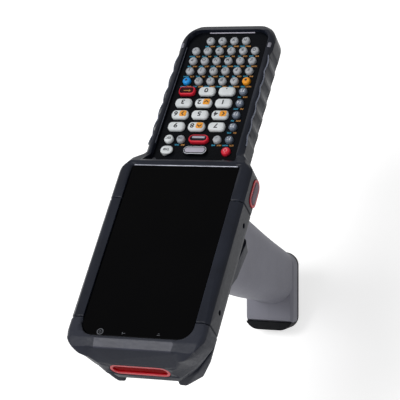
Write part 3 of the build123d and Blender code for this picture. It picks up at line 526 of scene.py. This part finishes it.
def endTree(tree, geometry, material):
    whole = addNode(tree, "GeometryNodeRealizeInstances", {}, {"Geometry": geometry})
    smooth = addNode(tree, "GeometryNodeSetShadeSmooth", {}, {"Geometry": whole.outputs[0]})
    inked = addNode(tree, "GeometryNodeSetMaterial", {}, {"Geometry": smooth.outputs[0],
                    "Material": material})
    addNode(tree, "NodeGroupOutput", {}, {0: inked.outputs[0]})
    return tree


def grown(tree, values):  # runs a geometry tree and returns its plain mesh
    holder = bpy.data.objects.new("holder", bpy.data.meshes.new("holder"))
    bpy.context.scene.collection.objects.link(holder)
    modifier = holder.modifiers.new("grow", "NODES")
    modifier.node_group = tree
    for item in tree.interface.items_tree:
        if item.in_out == "INPUT" and item.name in values:
            modifier[item.identifier] = values[item.name]
    holder.update_tag()
    graph = bpy.context.evaluated_depsgraph_get()
    mesh = bpy.data.meshes.new_from_object(holder.evaluated_get(graph))
    holder.modifiers.clear()
    bpy.data.objects.remove(holder)
    return mesh


# round key caps: a shallow dome, by the radius's share to the power "bowl", with an edge that
# rolls off by "roll"
capShape = {"radius": 2.55, "softRadius": 2.8, "height": 4.4, "dome": 0.30, "edge": 0.62,
            "bowl": 2.0, "roll": 7.0, "topBand": 0.1, "sides": 28, "rings": 6}


def capTree():
    tree, given = startTree("keyCaps", {"Start": "Vector", "Step": "Vector", "Count": "Int",
                            "Radius": "Float", "Height": "Float", "Dome": "Float", "Edge": "Float",
                            "Material": "Material"})
    line = addNode(tree, "GeometryNodeMeshLine", {}, {"Count": given["Count"],
                   "Start Location": given["Start"], "Offset": given["Step"]})
    drum = addNode(tree, "GeometryNodeMeshCylinder", {"Vertices": capShape["sides"],
                   "Side Segments": 1, "Fill Segments": capShape["rings"]},
                   {"Radius": given["Radius"], "Depth": given["Height"]})
    half = addNode(tree, "ShaderNodeMath", {"operation": "MULTIPLY", 1: -0.5},
                   {0: given["Height"]})
    drop = addNode(tree, "ShaderNodeCombineXYZ", {}, {"Z": half.outputs[0]})
    hung = addNode(tree, "GeometryNodeTransform", {}, {"Geometry": drum.outputs["Mesh"],
                   "Translation": drop.outputs[0]})
    place = addNode(tree, "GeometryNodeInputPosition").outputs[0]
    split = addNode(tree, "ShaderNodeSeparateXYZ", {}, {0: place}).outputs
    upper = addNode(tree, "FunctionNodeCompare", {"operation": "GREATER_THAN",
                    "B": -capShape["topBand"] * mm}, {"A": split["Z"]})
    level = addNode(tree, "ShaderNodeCombineXYZ", {}, {"X": split["X"], "Y": split["Y"]})
    away = addNode(tree, "ShaderNodeVectorMath", {"operation": "LENGTH"}, {0: level.outputs[0]})
    share = addNode(tree, "ShaderNodeMath", {"operation": "DIVIDE"},
                    {0: away.outputs["Value"], 1: given["Radius"]}).outputs[0]
    falls = []
    for power, depth in (("bowl", "Dome"), ("roll", "Edge")):
        curve = addNode(tree, "ShaderNodeMath", {"operation": "POWER", 1: capShape[power]}, {0: share})
        fall = addNode(tree, "ShaderNodeMath", {"operation": "MULTIPLY"},
                       {0: curve.outputs[0], 1: given[depth]})
        falls.append(fall.outputs[0])
    both = addNode(tree, "ShaderNodeMath", {"operation": "ADD"}, {0: falls[0], 1: falls[1]})
    down = addNode(tree, "ShaderNodeMath", {"operation": "MULTIPLY", 1: -1.0}, {0: both.outputs[0]})
    shift = addNode(tree, "ShaderNodeCombineXYZ", {}, {"Z": down.outputs[0]})
    domed = addNode(tree, "GeometryNodeSetPosition", {}, {"Geometry": hung.outputs[0],
                    "Selection": upper.outputs[0], "Offset": shift.outputs[0]})
    spread = addNode(tree, "GeometryNodeInstanceOnPoints", {}, {"Points": line.outputs[0],
                     "Instance": domed.outputs[0]})
    return endTree(tree, spread.outputs[0], given["Material"])


keyCapTree = capTree()


def roundCaps(name, runs, radius, colour):  # runs of (first centre, step, count)
    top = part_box(name)[1].z
    bm = bmesh.new()
    for first, step, count in runs:
        bm.from_mesh(grown(keyCapTree, {
            "Start": (first[0], first[1], top), "Step": step, "Count": count,
            "Radius": radius * mm, "Height": capShape["height"] * mm,
            "Dome": capShape["dome"] * mm, "Edge": capShape["edge"] * mm,
            "Material": paint[colour]}))
    placed(name + "Caps", meshFrom(bm, name + "Caps"), name + "_press", [paint[colour]], hides=[name])


rowCounts = {"letter_row_1": 4, "letter_row_2": 6, "letter_row_3": 6, "letter_row_4": 6,
             "letter_row_5": 4}
singleKeys = {
    "blue_shift_key": ("siliconeBlue", "radius"), "orange_shift_key": ("siliconeOrange", "radius"),
    "mark_key_upper": ("siliconeWhite", "softRadius"), "mark_key_lower": ("siliconeWhite", "softRadius"),
    "power_key": ("siliconeRed", "softRadius"),
}
capReach = capShape["radius"] * mm
keySpots = {}  # centres of every key, by node
for name, count in rowCounts.items():
    low, high, middle = nodeBox(name)
    step = (high.x - low.x - 2 * capReach) / (count - 1)
    first = (low.x + capReach, middle.y)
    keySpots[name] = [(first[0] + i * step, first[1]) for i in range(count)]
    roundCaps(name, [(first, (step, 0, 0), count)], capShape["radius"], "siliconeGrey")
for name, (colour, radius) in singleKeys.items():
    middle = nodeBox(name)[2]
    keySpots[name] = [(middle.x, middle.y)]
    roundCaps(name, [(middle, (0, 0, 0), 1)], capShape[radius], colour)

# wide head of the lower white key, in steps of (inset, height against its top, material)
ovalHead = {"size": (7.9, 5.9, 2.95), "shift": 1.1,
            "steps": ((0.3, -1.35, 0), (0, -1.0, 0), (0, -0.6, 0), (0.3, -0.2, 0), (0.9, -0.02, 0))}
x, y = keySpots["mark_key_lower"][0]
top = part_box("mark_key_lower")[1].z / mm
mesh = ringSolid("ovalHead", (x + ovalHead["shift"] * mm, y),
                 insetRings(ovalHead["size"], top, ovalHead["steps"]))
placed("ovalHead", mesh, "mark_key_lower_press", [paint["siliconeWhite"]])

low, high, middle = nodeBox("function_keys")
numberRows = [nodeBox("key_" + mark)[2].y for mark in ("8", "5", "2", "0")]
keySpots["function_keys"] = [(middle.x, y) for y in [low.y + capReach] + numberRows]
low, high, middle = nodeBox("soft_keys")
keySpots["soft_keys"] = [(low.x + capReach, middle.y), (high.x - capReach, middle.y)]
for name, colour in (("function_keys", "siliconeSlate"), ("soft_keys", "siliconeGrey")):
    roundCaps(name, [(spot, (0, 0, 0), 1) for spot in keySpots[name]], capShape["radius"], colour)
print("round caps:", len(keySpots))

# number keys: drafted crown, then a rounded edge
blockKey = {"size": (10.4, 5.8, 2.2), "height": 4.4, "bevel": 0.7, "drop": 0.85,
            "shares": (0.35, 0.7, 1.0), "curve": 0.8, "lip": 0.06, "flat": 0.25, "rounding": 0.6}
numberMarks = ("9", "8", "7", "6", "5", "4", "3", "2", "1", "0", "point")
steps = [(0, -blockKey["height"], 0), (0, -blockKey["drop"], 0)]
for share in blockKey["shares"]:
    fall = blockKey["drop"] * (1 - share) ** blockKey["curve"] + blockKey["lip"]
    steps.append((blockKey["bevel"] * share, -fall, 0))
steps.append((blockKey["bevel"] + blockKey["flat"], 0, 0))
for mark in numberMarks:
    name = "key_" + mark
    low, high, middle = nodeBox(name)
    keySpots[name] = [(middle.x, middle.y)]
    rings = insetRings(blockKey["size"], high.z / mm, steps, blockKey["rounding"])
    placed("numberKey." + mark, ringSolid("numberKey", middle, rings), name + "_press",
           [paint["siliconeWhite"]], hides=[name])

longKeys = {  # crown: inset, height against the key's top, material
    "key_back": {"size": (10.4, 5.8, 2.2), "paints": ("siliconeRed", "siliconeMaroon"),
                 "crown": ((0.0, -0.6, 0), (0.2, -0.15, 0), (0.5, 0.0, 0), (0.75, 0.0, 0),
                           (0.95, -0.5, 1), (1.2, -0.5, 1))},
    "enter_key": {"size": (12.6, 5.6, 2.8), "paints": ("siliconeRed", "siliconeBlack"),
                  "crown": ((0.0, -0.7, 0), (0.25, -0.2, 0), (0.6, 0.0, 0), (0.95, 0.0, 0),
                            (1.15, -0.6, 1), (1.4, -0.6, 1))},
    "scan_key": {"size": (14.6, 5.4, 2.7), "paints": ("siliconeBlack", "siliconeLilac", "whiteInk"),
                 "crown": ((0.0, -0.4, 0), (0.1, -0.2, 2), (0.36, -0.2, 2), (0.38, -0.8, 0),
                           (0.84, -0.8, 0), (0.86, -0.15, 0), (1.1, 0.0, 1))},
}
for name, look in longKeys.items():
    low, high, middle = nodeBox(name)
    keySpots[name] = [(middle.x, middle.y)]
    rings = insetRings(look["size"], high.z / mm, ((0, -blockKey["height"], 0),) + look["crown"])
    placed(name + "Cap", ringSolid(name, middle, rings), name + "_press",
           [paint[finish] for finish in look["paints"]], hides=[name])
print("long keys:", len(longKeys) + len(numberMarks))

# printed legends
legendStyles = {  # letter size, boldness as a share of it, width
    "digit": (4.4, 0.03, 1.15), "letter": (2.9, 0.015, 1.0), "function": (2.9, 0.02, 1.0),
    "word": (2.1, 0.02, 1.0), "boldWord": (2.1, 0.03, 1.0), "tiny": (1.35, 0.05, 1.15),
}


def domeDrop(x, y, radius):  # how far a round cap lies under its top at a place
    share = min(math.hypot(x, y) / (radius * mm), 1)
    bowl = capShape["dome"] * share ** capShape["bowl"]
    return (bowl + capShape["edge"] * share ** capShape["roll"]) * mm


def addText(bm, words, style, spot, height, index=0, radius=None):
    size, bold, wide = legendStyles[style]
    curve = bpy.data.curves.new("words", "FONT")
    curve.body = words
    curve.size = size * mm
    curve.offset = bold * size * mm
    curve.align_x = "CENTER"
    curve.align_y = "CENTER"
    curve.resolution_u = 3
    holder = bpy.data.objects.new("words", curve)
    bpy.context.scene.collection.objects.link(holder)
    bpy.context.view_layer.update()
    mesh = holder.to_mesh()
    for polygon in mesh.polygons:
        corners = []
        for vertex in polygon.vertices:
            point = mesh.vertices[vertex].co
            x, y = -point.x * wide, -point.y  # upright for a user at the keypad end
            drop = domeDrop(x, y, radius) if radius else 0
            corners.append(bm.verts.new((spot[0] + x, spot[1] + y, height + film - drop)))
        bm.faces.new(corners).material_index = index
    holder.to_mesh_clear()
    bpy.data.objects.remove(holder)


def addFace(bm, spot, corners, height, index=0):  # flat film, corners in mm about its spot
    bm.faces.new([bm.verts.new((spot[0] + x * mm, spot[1] + y * mm, height)) for x, y in corners]
                 ).material_index = index


def addBar(bm, spot, size, height, index=0):
    x, y = size[0] / 2, size[1] / 2
    addFace(bm, spot, ((-x, -y), (x, -y), (x, y), (-x, y)), height, index)


def addRing(bm, spot, height, outer, inner, gap=0, index=0, steps=28):  # flat ring, open by a gap
    span = 2 * math.pi - gap
    loops = []
    for radius in (inner, outer):
        turns = [gap / 2 + span * i / steps for i in range(steps + 1)]
        loops.append([bm.verts.new((spot[0] + radius * mm * math.sin(t),
                                    spot[1] - radius * mm * math.cos(t), height)) for t in turns])
    for i in range(steps):
        bm.faces.new((loops[0][i], loops[0][i + 1], loops[1][i + 1], loops[1][i])
                     ).material_index = index


def placedFilm(bm, name, body, inks):  # flat films that face up
    bmesh.ops.remove_doubles(bm, verts=bm.verts, dist=weld / 2)
    for face in bm.faces:
        if face.normal.z < 0:
            face.normal_flip()
    placed(name, meshFrom(bm, name), body, [paint[finish] for finish in inks])


letters = iter("ABCDEFGHIJKLMNOPQRSTUVWXYZ")
for name in rowCounts:
    bm = bmesh.new()
    for spot in sorted(keySpots[name], reverse=True):  # the user's left is +X
        addText(bm, next(letters), "letter", spot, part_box(name)[1].z, radius=capShape["radius"])
    placedFilm(bm, name + "Letters", name + "_press", ["greyInk"])

arrowPatch = {  # orange tile with a chevron, turned as the user sees it
    "turns": {"8": 0, "2": 180, "4": 90, "6": -90}, "tile": (4.3, 4.2, 1.0), "shift": 2.3,
    "halves": (((-1.4, -0.9), (0, 0.35), (0, 1.25), (-1.4, 0.0)),
               ((0, 0.35), (1.4, -0.9), (1.4, 0.0), (0, 1.25))),
}
for mark in numberMarks:
    name = "key_" + mark
    x, y = keySpots[name][0]
    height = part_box(name)[1].z
    turn = arrowPatch["turns"].get(mark)
    shift = 0 if turn is None else arrowPatch["shift"] * mm
    bm = bmesh.new()
    addText(bm, "." if mark == "point" else mark, "digit", (x - shift, y), height)
    if shift:
        spot = (x + shift, y)
        addFace(bm, spot, roundedRing(*arrowPatch["tile"]), height + film, 1)
        spin = Matrix.Rotation(math.radians(180 + turn), 2)
        for half in arrowPatch["halves"]:
            addFace(bm, spot, [spin @ Vector(corner) for corner in half], height + 2 * film, 2)
    placedFilm(bm, name + "Legend", name + "_press", ["blackInk", "orangePatch", "brownInk"])

for name, words, style, finish in (("function", ("F1", "F2", "F3", "F4", "F5"), "function", "whiteInk"),
                                   ("soft", ("OK", "..."), "word", "greyInk")):
    bm = bmesh.new()
    for word, spot in zip(words, keySpots[name + "_keys"]):
        addText(bm, word, style, spot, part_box(name + "_keys")[1].z, radius=capShape["radius"])
    placedFilm(bm, name + "Legends", name + "_keys_press", [finish])
for name, words, shift, radius in (("mark_key_upper", "ESC", 0.0, capShape["softRadius"]),
                                   ("mark_key_lower", "TAB", ovalHead["shift"], None)):
    bm = bmesh.new()
    x, y = keySpots[name][0]
    addText(bm, words, "boldWord", (x + shift * mm, y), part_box(name)[1].z, radius=radius)
    placedFilm(bm, name + "Legend", name + "_press", ["blackInk"])

backArrow = {"bar": (3.6, 0.45), "barShift": -0.3, "head": ((2.6, 0), (1.3, 0.9), (1.3, -0.9)),
             "sunk": 0.5}
x, y = keySpots["key_back"][0]
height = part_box("key_back")[1].z + film - backArrow["sunk"] * mm
bm = bmesh.new()
addBar(bm, (x + backArrow["barShift"] * mm, y), backArrow["bar"], height)
addFace(bm, (x, y), backArrow["head"], height)
placedFilm(bm, "backArrow", "key_back_press", ["amberInk"])

# the power symbol is printed pale pink; the pink also stands for the highlight at the key's centre, so it
# is partly a painted highlight
powerMark = {"outer": 1.25, "inner": 0.85, "gap": 1.2, "sunk": 0.02, "bar": (0.35, 1.3),
             "barShift": -1.0}
x, y = keySpots["power_key"][0]
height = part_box("power_key")[1].z
bm = bmesh.new()
addRing(bm, (x, y), height - powerMark["sunk"] * mm, powerMark["outer"], powerMark["inner"],
        powerMark["gap"])
addBar(bm, (x, y + powerMark["barShift"] * mm), powerMark["bar"], height + film)
placedFilm(bm, "powerMark", "power_key_press", ["roseInk"])

shiftDot = {"radius": 0.75, "steps": 16}
turns = [2 * math.pi * i / shiftDot["steps"] for i in range(shiftDot["steps"])]
disc = [(shiftDot["radius"] * math.cos(turn), shiftDot["radius"] * math.sin(turn)) for turn in turns]
for name in ("blue_shift_key", "orange_shift_key"):
    bm = bmesh.new()
    addFace(bm, keySpots[name][0], disc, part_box(name)[1].z + film)
    placedFilm(bm, name + "Dot", name + "_press", ["blackInk"])

# pale bar along the far side of the enter key's recess: a painted highlight
enterHighlightBar = {"size": (8.2, 1.3, 0.6), "shift": 0.75,
            "steps": ((0, -0.65, 0), (0, -0.15, 0), (0.15, -0.02, 0))}
x, y = keySpots["enter_key"][0]
rings = insetRings(enterHighlightBar["size"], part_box("enter_key")[1].z / mm, enterHighlightBar["steps"])
placed("enterHighlightBar", ringSolid("enterHighlightBar", (x, y + enterHighlightBar["shift"] * mm), rings), "enter_key_press",
       [paint["siliconeLilac"]])

# small second and third functions printed on the plate, beside and below each round key
plateWords = {"aside": 1.9, "below": 3.55, "stride": 5,
              "words": ("ALT", "CTL", "INS", "DEL", "PG", "END", "FN", "HLP", "NUM", "CLR", "MNU",
                        "SYM")}
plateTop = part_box("key_plate")[1].z
words = plateWords["words"]
bm = bmesh.new()
smallSpots = [spot for name in list(rowCounts) + ["blue_shift_key", "orange_shift_key",
              "function_keys", "soft_keys"] for spot in keySpots[name]]
for index, (x, y) in enumerate(smallSpots):
    for second, side in enumerate((-1, 1)):
        spot = (x + side * plateWords["aside"] * mm, y - plateWords["below"] * mm)
        word = words[(index + second) * plateWords["stride"] % len(words)]
        addText(bm, word, "tiny", spot, plateTop, second)
placedFilm(bm, "plateLegends", "housing", ["tealInk", "amberInk"])

glassMarks = {  # rings: x, y, outer and inner radius; bars: x, y, width, depth
    "rings": ((-21.3, -55.2, 2.0, 1.45), (-21.3, -55.2, 0.75, 0.45)),
    "bars": ((-7.6, -55.5, 0.35, 1.5), (-6.6, -55.5, 1.6, 0.3), (14.2, -55.4, 1.8, 0.3),
             (14.2, -54.5, 0.9, 0.3)),
}
bm = bmesh.new()
for x, y, outer, inner in glassMarks["rings"]:
    addRing(bm, (x * mm, y * mm), film, outer, inner)
for x, y, width, depth in glassMarks["bars"]:
    addBar(bm, (x * mm, y * mm), (width, depth), film)
placedFilm(bm, "glassMarks", "housing", ["greyInk"])
print("legends done")

# bright strip that fills the gap at the glass's keypad edge: a painted highlight for the light that the
# rim's bevel catches
strip = {"y": 57.85, "rings": ((66.0, 0.75, 0.3, -0.6, 0), (66.0, 0.75, 0.3, 0.25, 0),
                               (65.8, 0.55, 0.25, 0.4, 0), (65.5, 0.35, 0.15, 0.45, 0))}
placed("glassStrip", ringSolid("glassStrip", (0, strip["y"] * mm), strip["rings"]), "housing",
       [paint["glassEdgeHighlight"]])

# light bar at the keypad's end, a painted highlight on its inner lip; tabs beside it; screws at the
# plate's other end, drawn as an open rim (outer and inner radius, gap in radians), a painted highlight,
# round a head with a hole (radii)
endTrim = {"bar": (0.8, 163.2, -6.9), "barSize": (30.0, 0.8, 0.4), "barHeight": 0.5,
           "tabs": (28.6, 151.4, -4.6), "tabSize": (1.9, 3.4, 0.5), "tabHeight": 0.9,
           "edge": 0.15, "rounding": 2 / 3, "screws": ((-25.6, 67.0), (18.8, 66.4)),
           "screwTop": -6.95, "rim": (1.25, 0.95, 2.6), "head": (0.9, 0.25)}
trims = [("endBar", endTrim["bar"], endTrim["barSize"], endTrim["barHeight"], "siliconeLilac")]
for label, side in sides.items():
    x, y, z = endTrim["tabs"]
    trims.append(("cornerTab." + label, (side * x, y, z), endTrim["tabSize"], endTrim["tabHeight"],
                  "mouldedGrip"))
for name, (x, y, z), size, height, finish in trims:
    steps = ((0, -height, 0), (0, -endTrim["edge"], 0), (endTrim["edge"], 0, 0))
    rings = insetRings(size, z + height, steps, endTrim["rounding"])
    placed(name, ringSolid(name, (x * mm, y * mm), rings), "housing", [paint[finish]])
bm = bmesh.new()
for x, y in endTrim["screws"]:
    spot = (x * mm, y * mm)
    outer, inner, gap = endTrim["rim"]
    # the open grey rim is a painted highlight, a glint on the screw's edge
    addRing(bm, spot, endTrim["screwTop"] * mm, outer, inner, gap)
    addRing(bm, spot, endTrim["screwTop"] * mm, *endTrim["head"], index=1)
placedFilm(bm, "plateScrews", "housing", ["greyInk", "blackInk"])

# pale beads along each keypad rail, grown along their paths, that are painted highlight lines
crestForm = {"pitch": 12.0, "steps": 90, "sides": 10}
crests = {  # painted highlights: a wavy ridge on the outer slope, a straight line on the inner wall
    "outer": {"from": (30.5, 77.0, -5.7), "to": (29.5, 144.0, -5.0), "wave": 0.9, "radius": 0.4},
    "inner": {"from": (27.05, 78.0, -5.2), "to": (26.65, 152.0, -6.6), "wave": 0.0, "radius": 0.25},
}


def crestTree():
    tree, given = startTree("railCrest", {"Start": "Vector", "End": "Vector", "Wave": "Float",
                            "Pitch": "Float", "Radius": "Float", "Material": "Material"})
    line = addNode(tree, "GeometryNodeCurvePrimitiveLine", {},
                   {"Start": given["Start"], "End": given["End"]})
    fine = addNode(tree, "GeometryNodeResampleCurve", {"Count": crestForm["steps"]},
                   {"Curve": line.outputs[0]})
    place = addNode(tree, "GeometryNodeInputPosition").outputs[0]
    split = addNode(tree, "ShaderNodeSeparateXYZ", {}, {0: place}).outputs
    turns = addNode(tree, "ShaderNodeMath", {"operation": "DIVIDE"},
                    {0: split["Y"], 1: given["Pitch"]})
    phase = addNode(tree, "ShaderNodeMath", {"operation": "MULTIPLY", 1: math.pi},
                    {0: turns.outputs[0]})
    wave = addNode(tree, "ShaderNodeMath", {"operation": "SINE"}, {0: phase.outputs[0]})
    crown = addNode(tree, "ShaderNodeMath", {"operation": "ABSOLUTE"}, {0: wave.outputs[0]})
    reach = addNode(tree, "ShaderNodeMath", {"operation": "MULTIPLY"},
                    {0: crown.outputs[0], 1: given["Wave"]})
    shift = addNode(tree, "ShaderNodeCombineXYZ", {}, {"X": reach.outputs[0]})
    waved = addNode(tree, "GeometryNodeSetPosition", {}, {"Geometry": fine.outputs[0],
                    "Offset": shift.outputs[0]})
    profile = addNode(tree, "GeometryNodeCurvePrimitiveCircle", {"Resolution": crestForm["sides"]},
                      {"Radius": given["Radius"]})
    bead = addNode(tree, "GeometryNodeCurveToMesh", {"Fill Caps": True},
                   {"Curve": waved.outputs[0], "Profile Curve": profile.outputs[0]})
    return endTree(tree, bead.outputs[0], given["Material"])


railCrest = crestTree()
for kind, crest in crests.items():
    for label, side in sides.items():
        (x0, y0, z0), (x1, y1, z1) = crest["from"], crest["to"]
        bm = bmesh.new()
        bm.from_mesh(grown(railCrest, {
            "Start": (side * x0 * mm, y0 * mm, z0 * mm), "End": (side * x1 * mm, y1 * mm, z1 * mm),
            "Wave": side * crest["wave"] * mm, "Pitch": crestForm["pitch"] * mm,
            "Radius": crest["radius"] * mm, "Material": paint["railHighlightPaint"]}))
        name = kind + "Crest"
        placed(name + "." + label, closedMesh(bm, name), "housing", [paint["railHighlightPaint"]])
print("trims done")

studio = {
    "floorSize": 3.0, "floorColour": "#f2f2f2", "floorLift": 0.62, "world": 0.22,
    "target": (0, 0.02, -0.05),
    "lamps": {  # place, size in metres, watts
        "key": ((-0.50, -0.30, 1.15), 0.7, 10.6), "fill": ((1.05, -0.60, 0.60), 0.9, 1.9),
        "front": ((-0.20, -1.20, 0.45), 0.7, 0.8)},
}


def addSeen(tree):  # 1 for rays that show the backdrop itself, be it in a mirror or through glass
    rays = addNode(tree, "ShaderNodeLightPath").outputs
    mirrored = addNode(tree, "ShaderNodeMath", {"operation": "MAXIMUM"},
                       {0: rays["Is Camera Ray"], 1: rays["Is Glossy Ray"]})
    return addNode(tree, "ShaderNodeMath", {"operation": "MAXIMUM"},
                   {0: mirrored.outputs[0], 1: rays["Is Transmission Ray"]}).outputs[0]


size, floorZ = studio["floorSize"], cadBounds[0][2]
floorMesh = bpy.data.meshes.new("floor")
floorMesh.from_pydata([(-size, -size, floorZ), (size, -size, floorZ), (size, size, floorZ),
                       (-size, size, floorZ)], [], [(0, 1, 2, 3)])
floor = bpy.data.objects.new("floor", floorMesh)
bpy.context.scene.collection.objects.link(floor)
paper = bpy.data.materials.new("paleCard")  # matt card, lifted to white where it is seen
paper.use_nodes = True
tree = paper.node_tree
tree.nodes.clear()
lift = addNode(tree, "ShaderNodeMath", {"operation": "MULTIPLY", 1: studio["floorLift"]},
               {0: addSeen(tree)})
matt = addNode(tree, "ShaderNodeBsdfDiffuse", {"Color": toLinear(studio["floorColour"])})
glow = addNode(tree, "ShaderNodeEmission", {}, {"Strength": lift.outputs[0]})
both = addNode(tree, "ShaderNodeAddShader", {}, {0: matt.outputs[0], 1: glow.outputs[0]})
addNode(tree, "ShaderNodeOutputMaterial", {}, {"Surface": both.outputs[0]})
floorMesh.materials.append(paper)

world = bpy.data.worlds.new("studio")
bpy.context.scene.world = world
world.use_nodes = True
tree = world.node_tree
tree.nodes.clear()
level = addNode(tree, "ShaderNodeMapRange",  # white where it is seen, soft light elsewhere
                {"From Min": 0.0, "From Max": 1.0, "To Min": studio["world"], "To Max": 1.0},
                {"Value": addSeen(tree)})
sky = addNode(tree, "ShaderNodeBackground", {"Color": (1, 1, 1, 1)},
              {"Strength": level.outputs["Result"]})
addNode(tree, "ShaderNodeOutputWorld", {}, {"Surface": sky.outputs[0]})
for name, (place, size, power) in studio["lamps"].items():
    lamp = bpy.data.lights.new(name, "AREA")
    lamp.shape = "SQUARE"
    lamp.size = size
    lamp.energy = power
    holder = bpy.data.objects.new(name, lamp)
    holder.location = place
    aim = Vector(studio["target"]) - Vector(place)
    holder.rotation_euler = aim.to_track_quat("-Z", "Y").to_euler()
    bpy.context.scene.collection.objects.link(holder)

cameraPlace = {"at": (0.4066, -0.4765, 0.7608), "right": (0.9189, 0.2425, -0.31),
               "down": (0.0256, -0.8232, -0.5659), "lens": 156.94, "sensor": 36.0}
right, down = Vector(cameraPlace["right"]).normalized(), Vector(cameraPlace["down"]).normalized()
back = right.cross(-down).normalized()
camera = bpy.data.objects.new("camera", bpy.data.cameras.new("camera"))
camera.data.sensor_fit = "HORIZONTAL"
camera.data.sensor_width = cameraPlace["sensor"]
camera.data.lens = cameraPlace["lens"]
turn = Matrix((right, -down, back)).transposed().to_4x4()
camera.matrix_world = Matrix.Translation(cameraPlace["at"]) @ turn
bpy.context.scene.collection.objects.link(camera)
bpy.context.scene.camera = camera
bpy.context.scene.view_settings.view_transform = "Standard"
print("studio done")

bpy.context.view_layer.update()
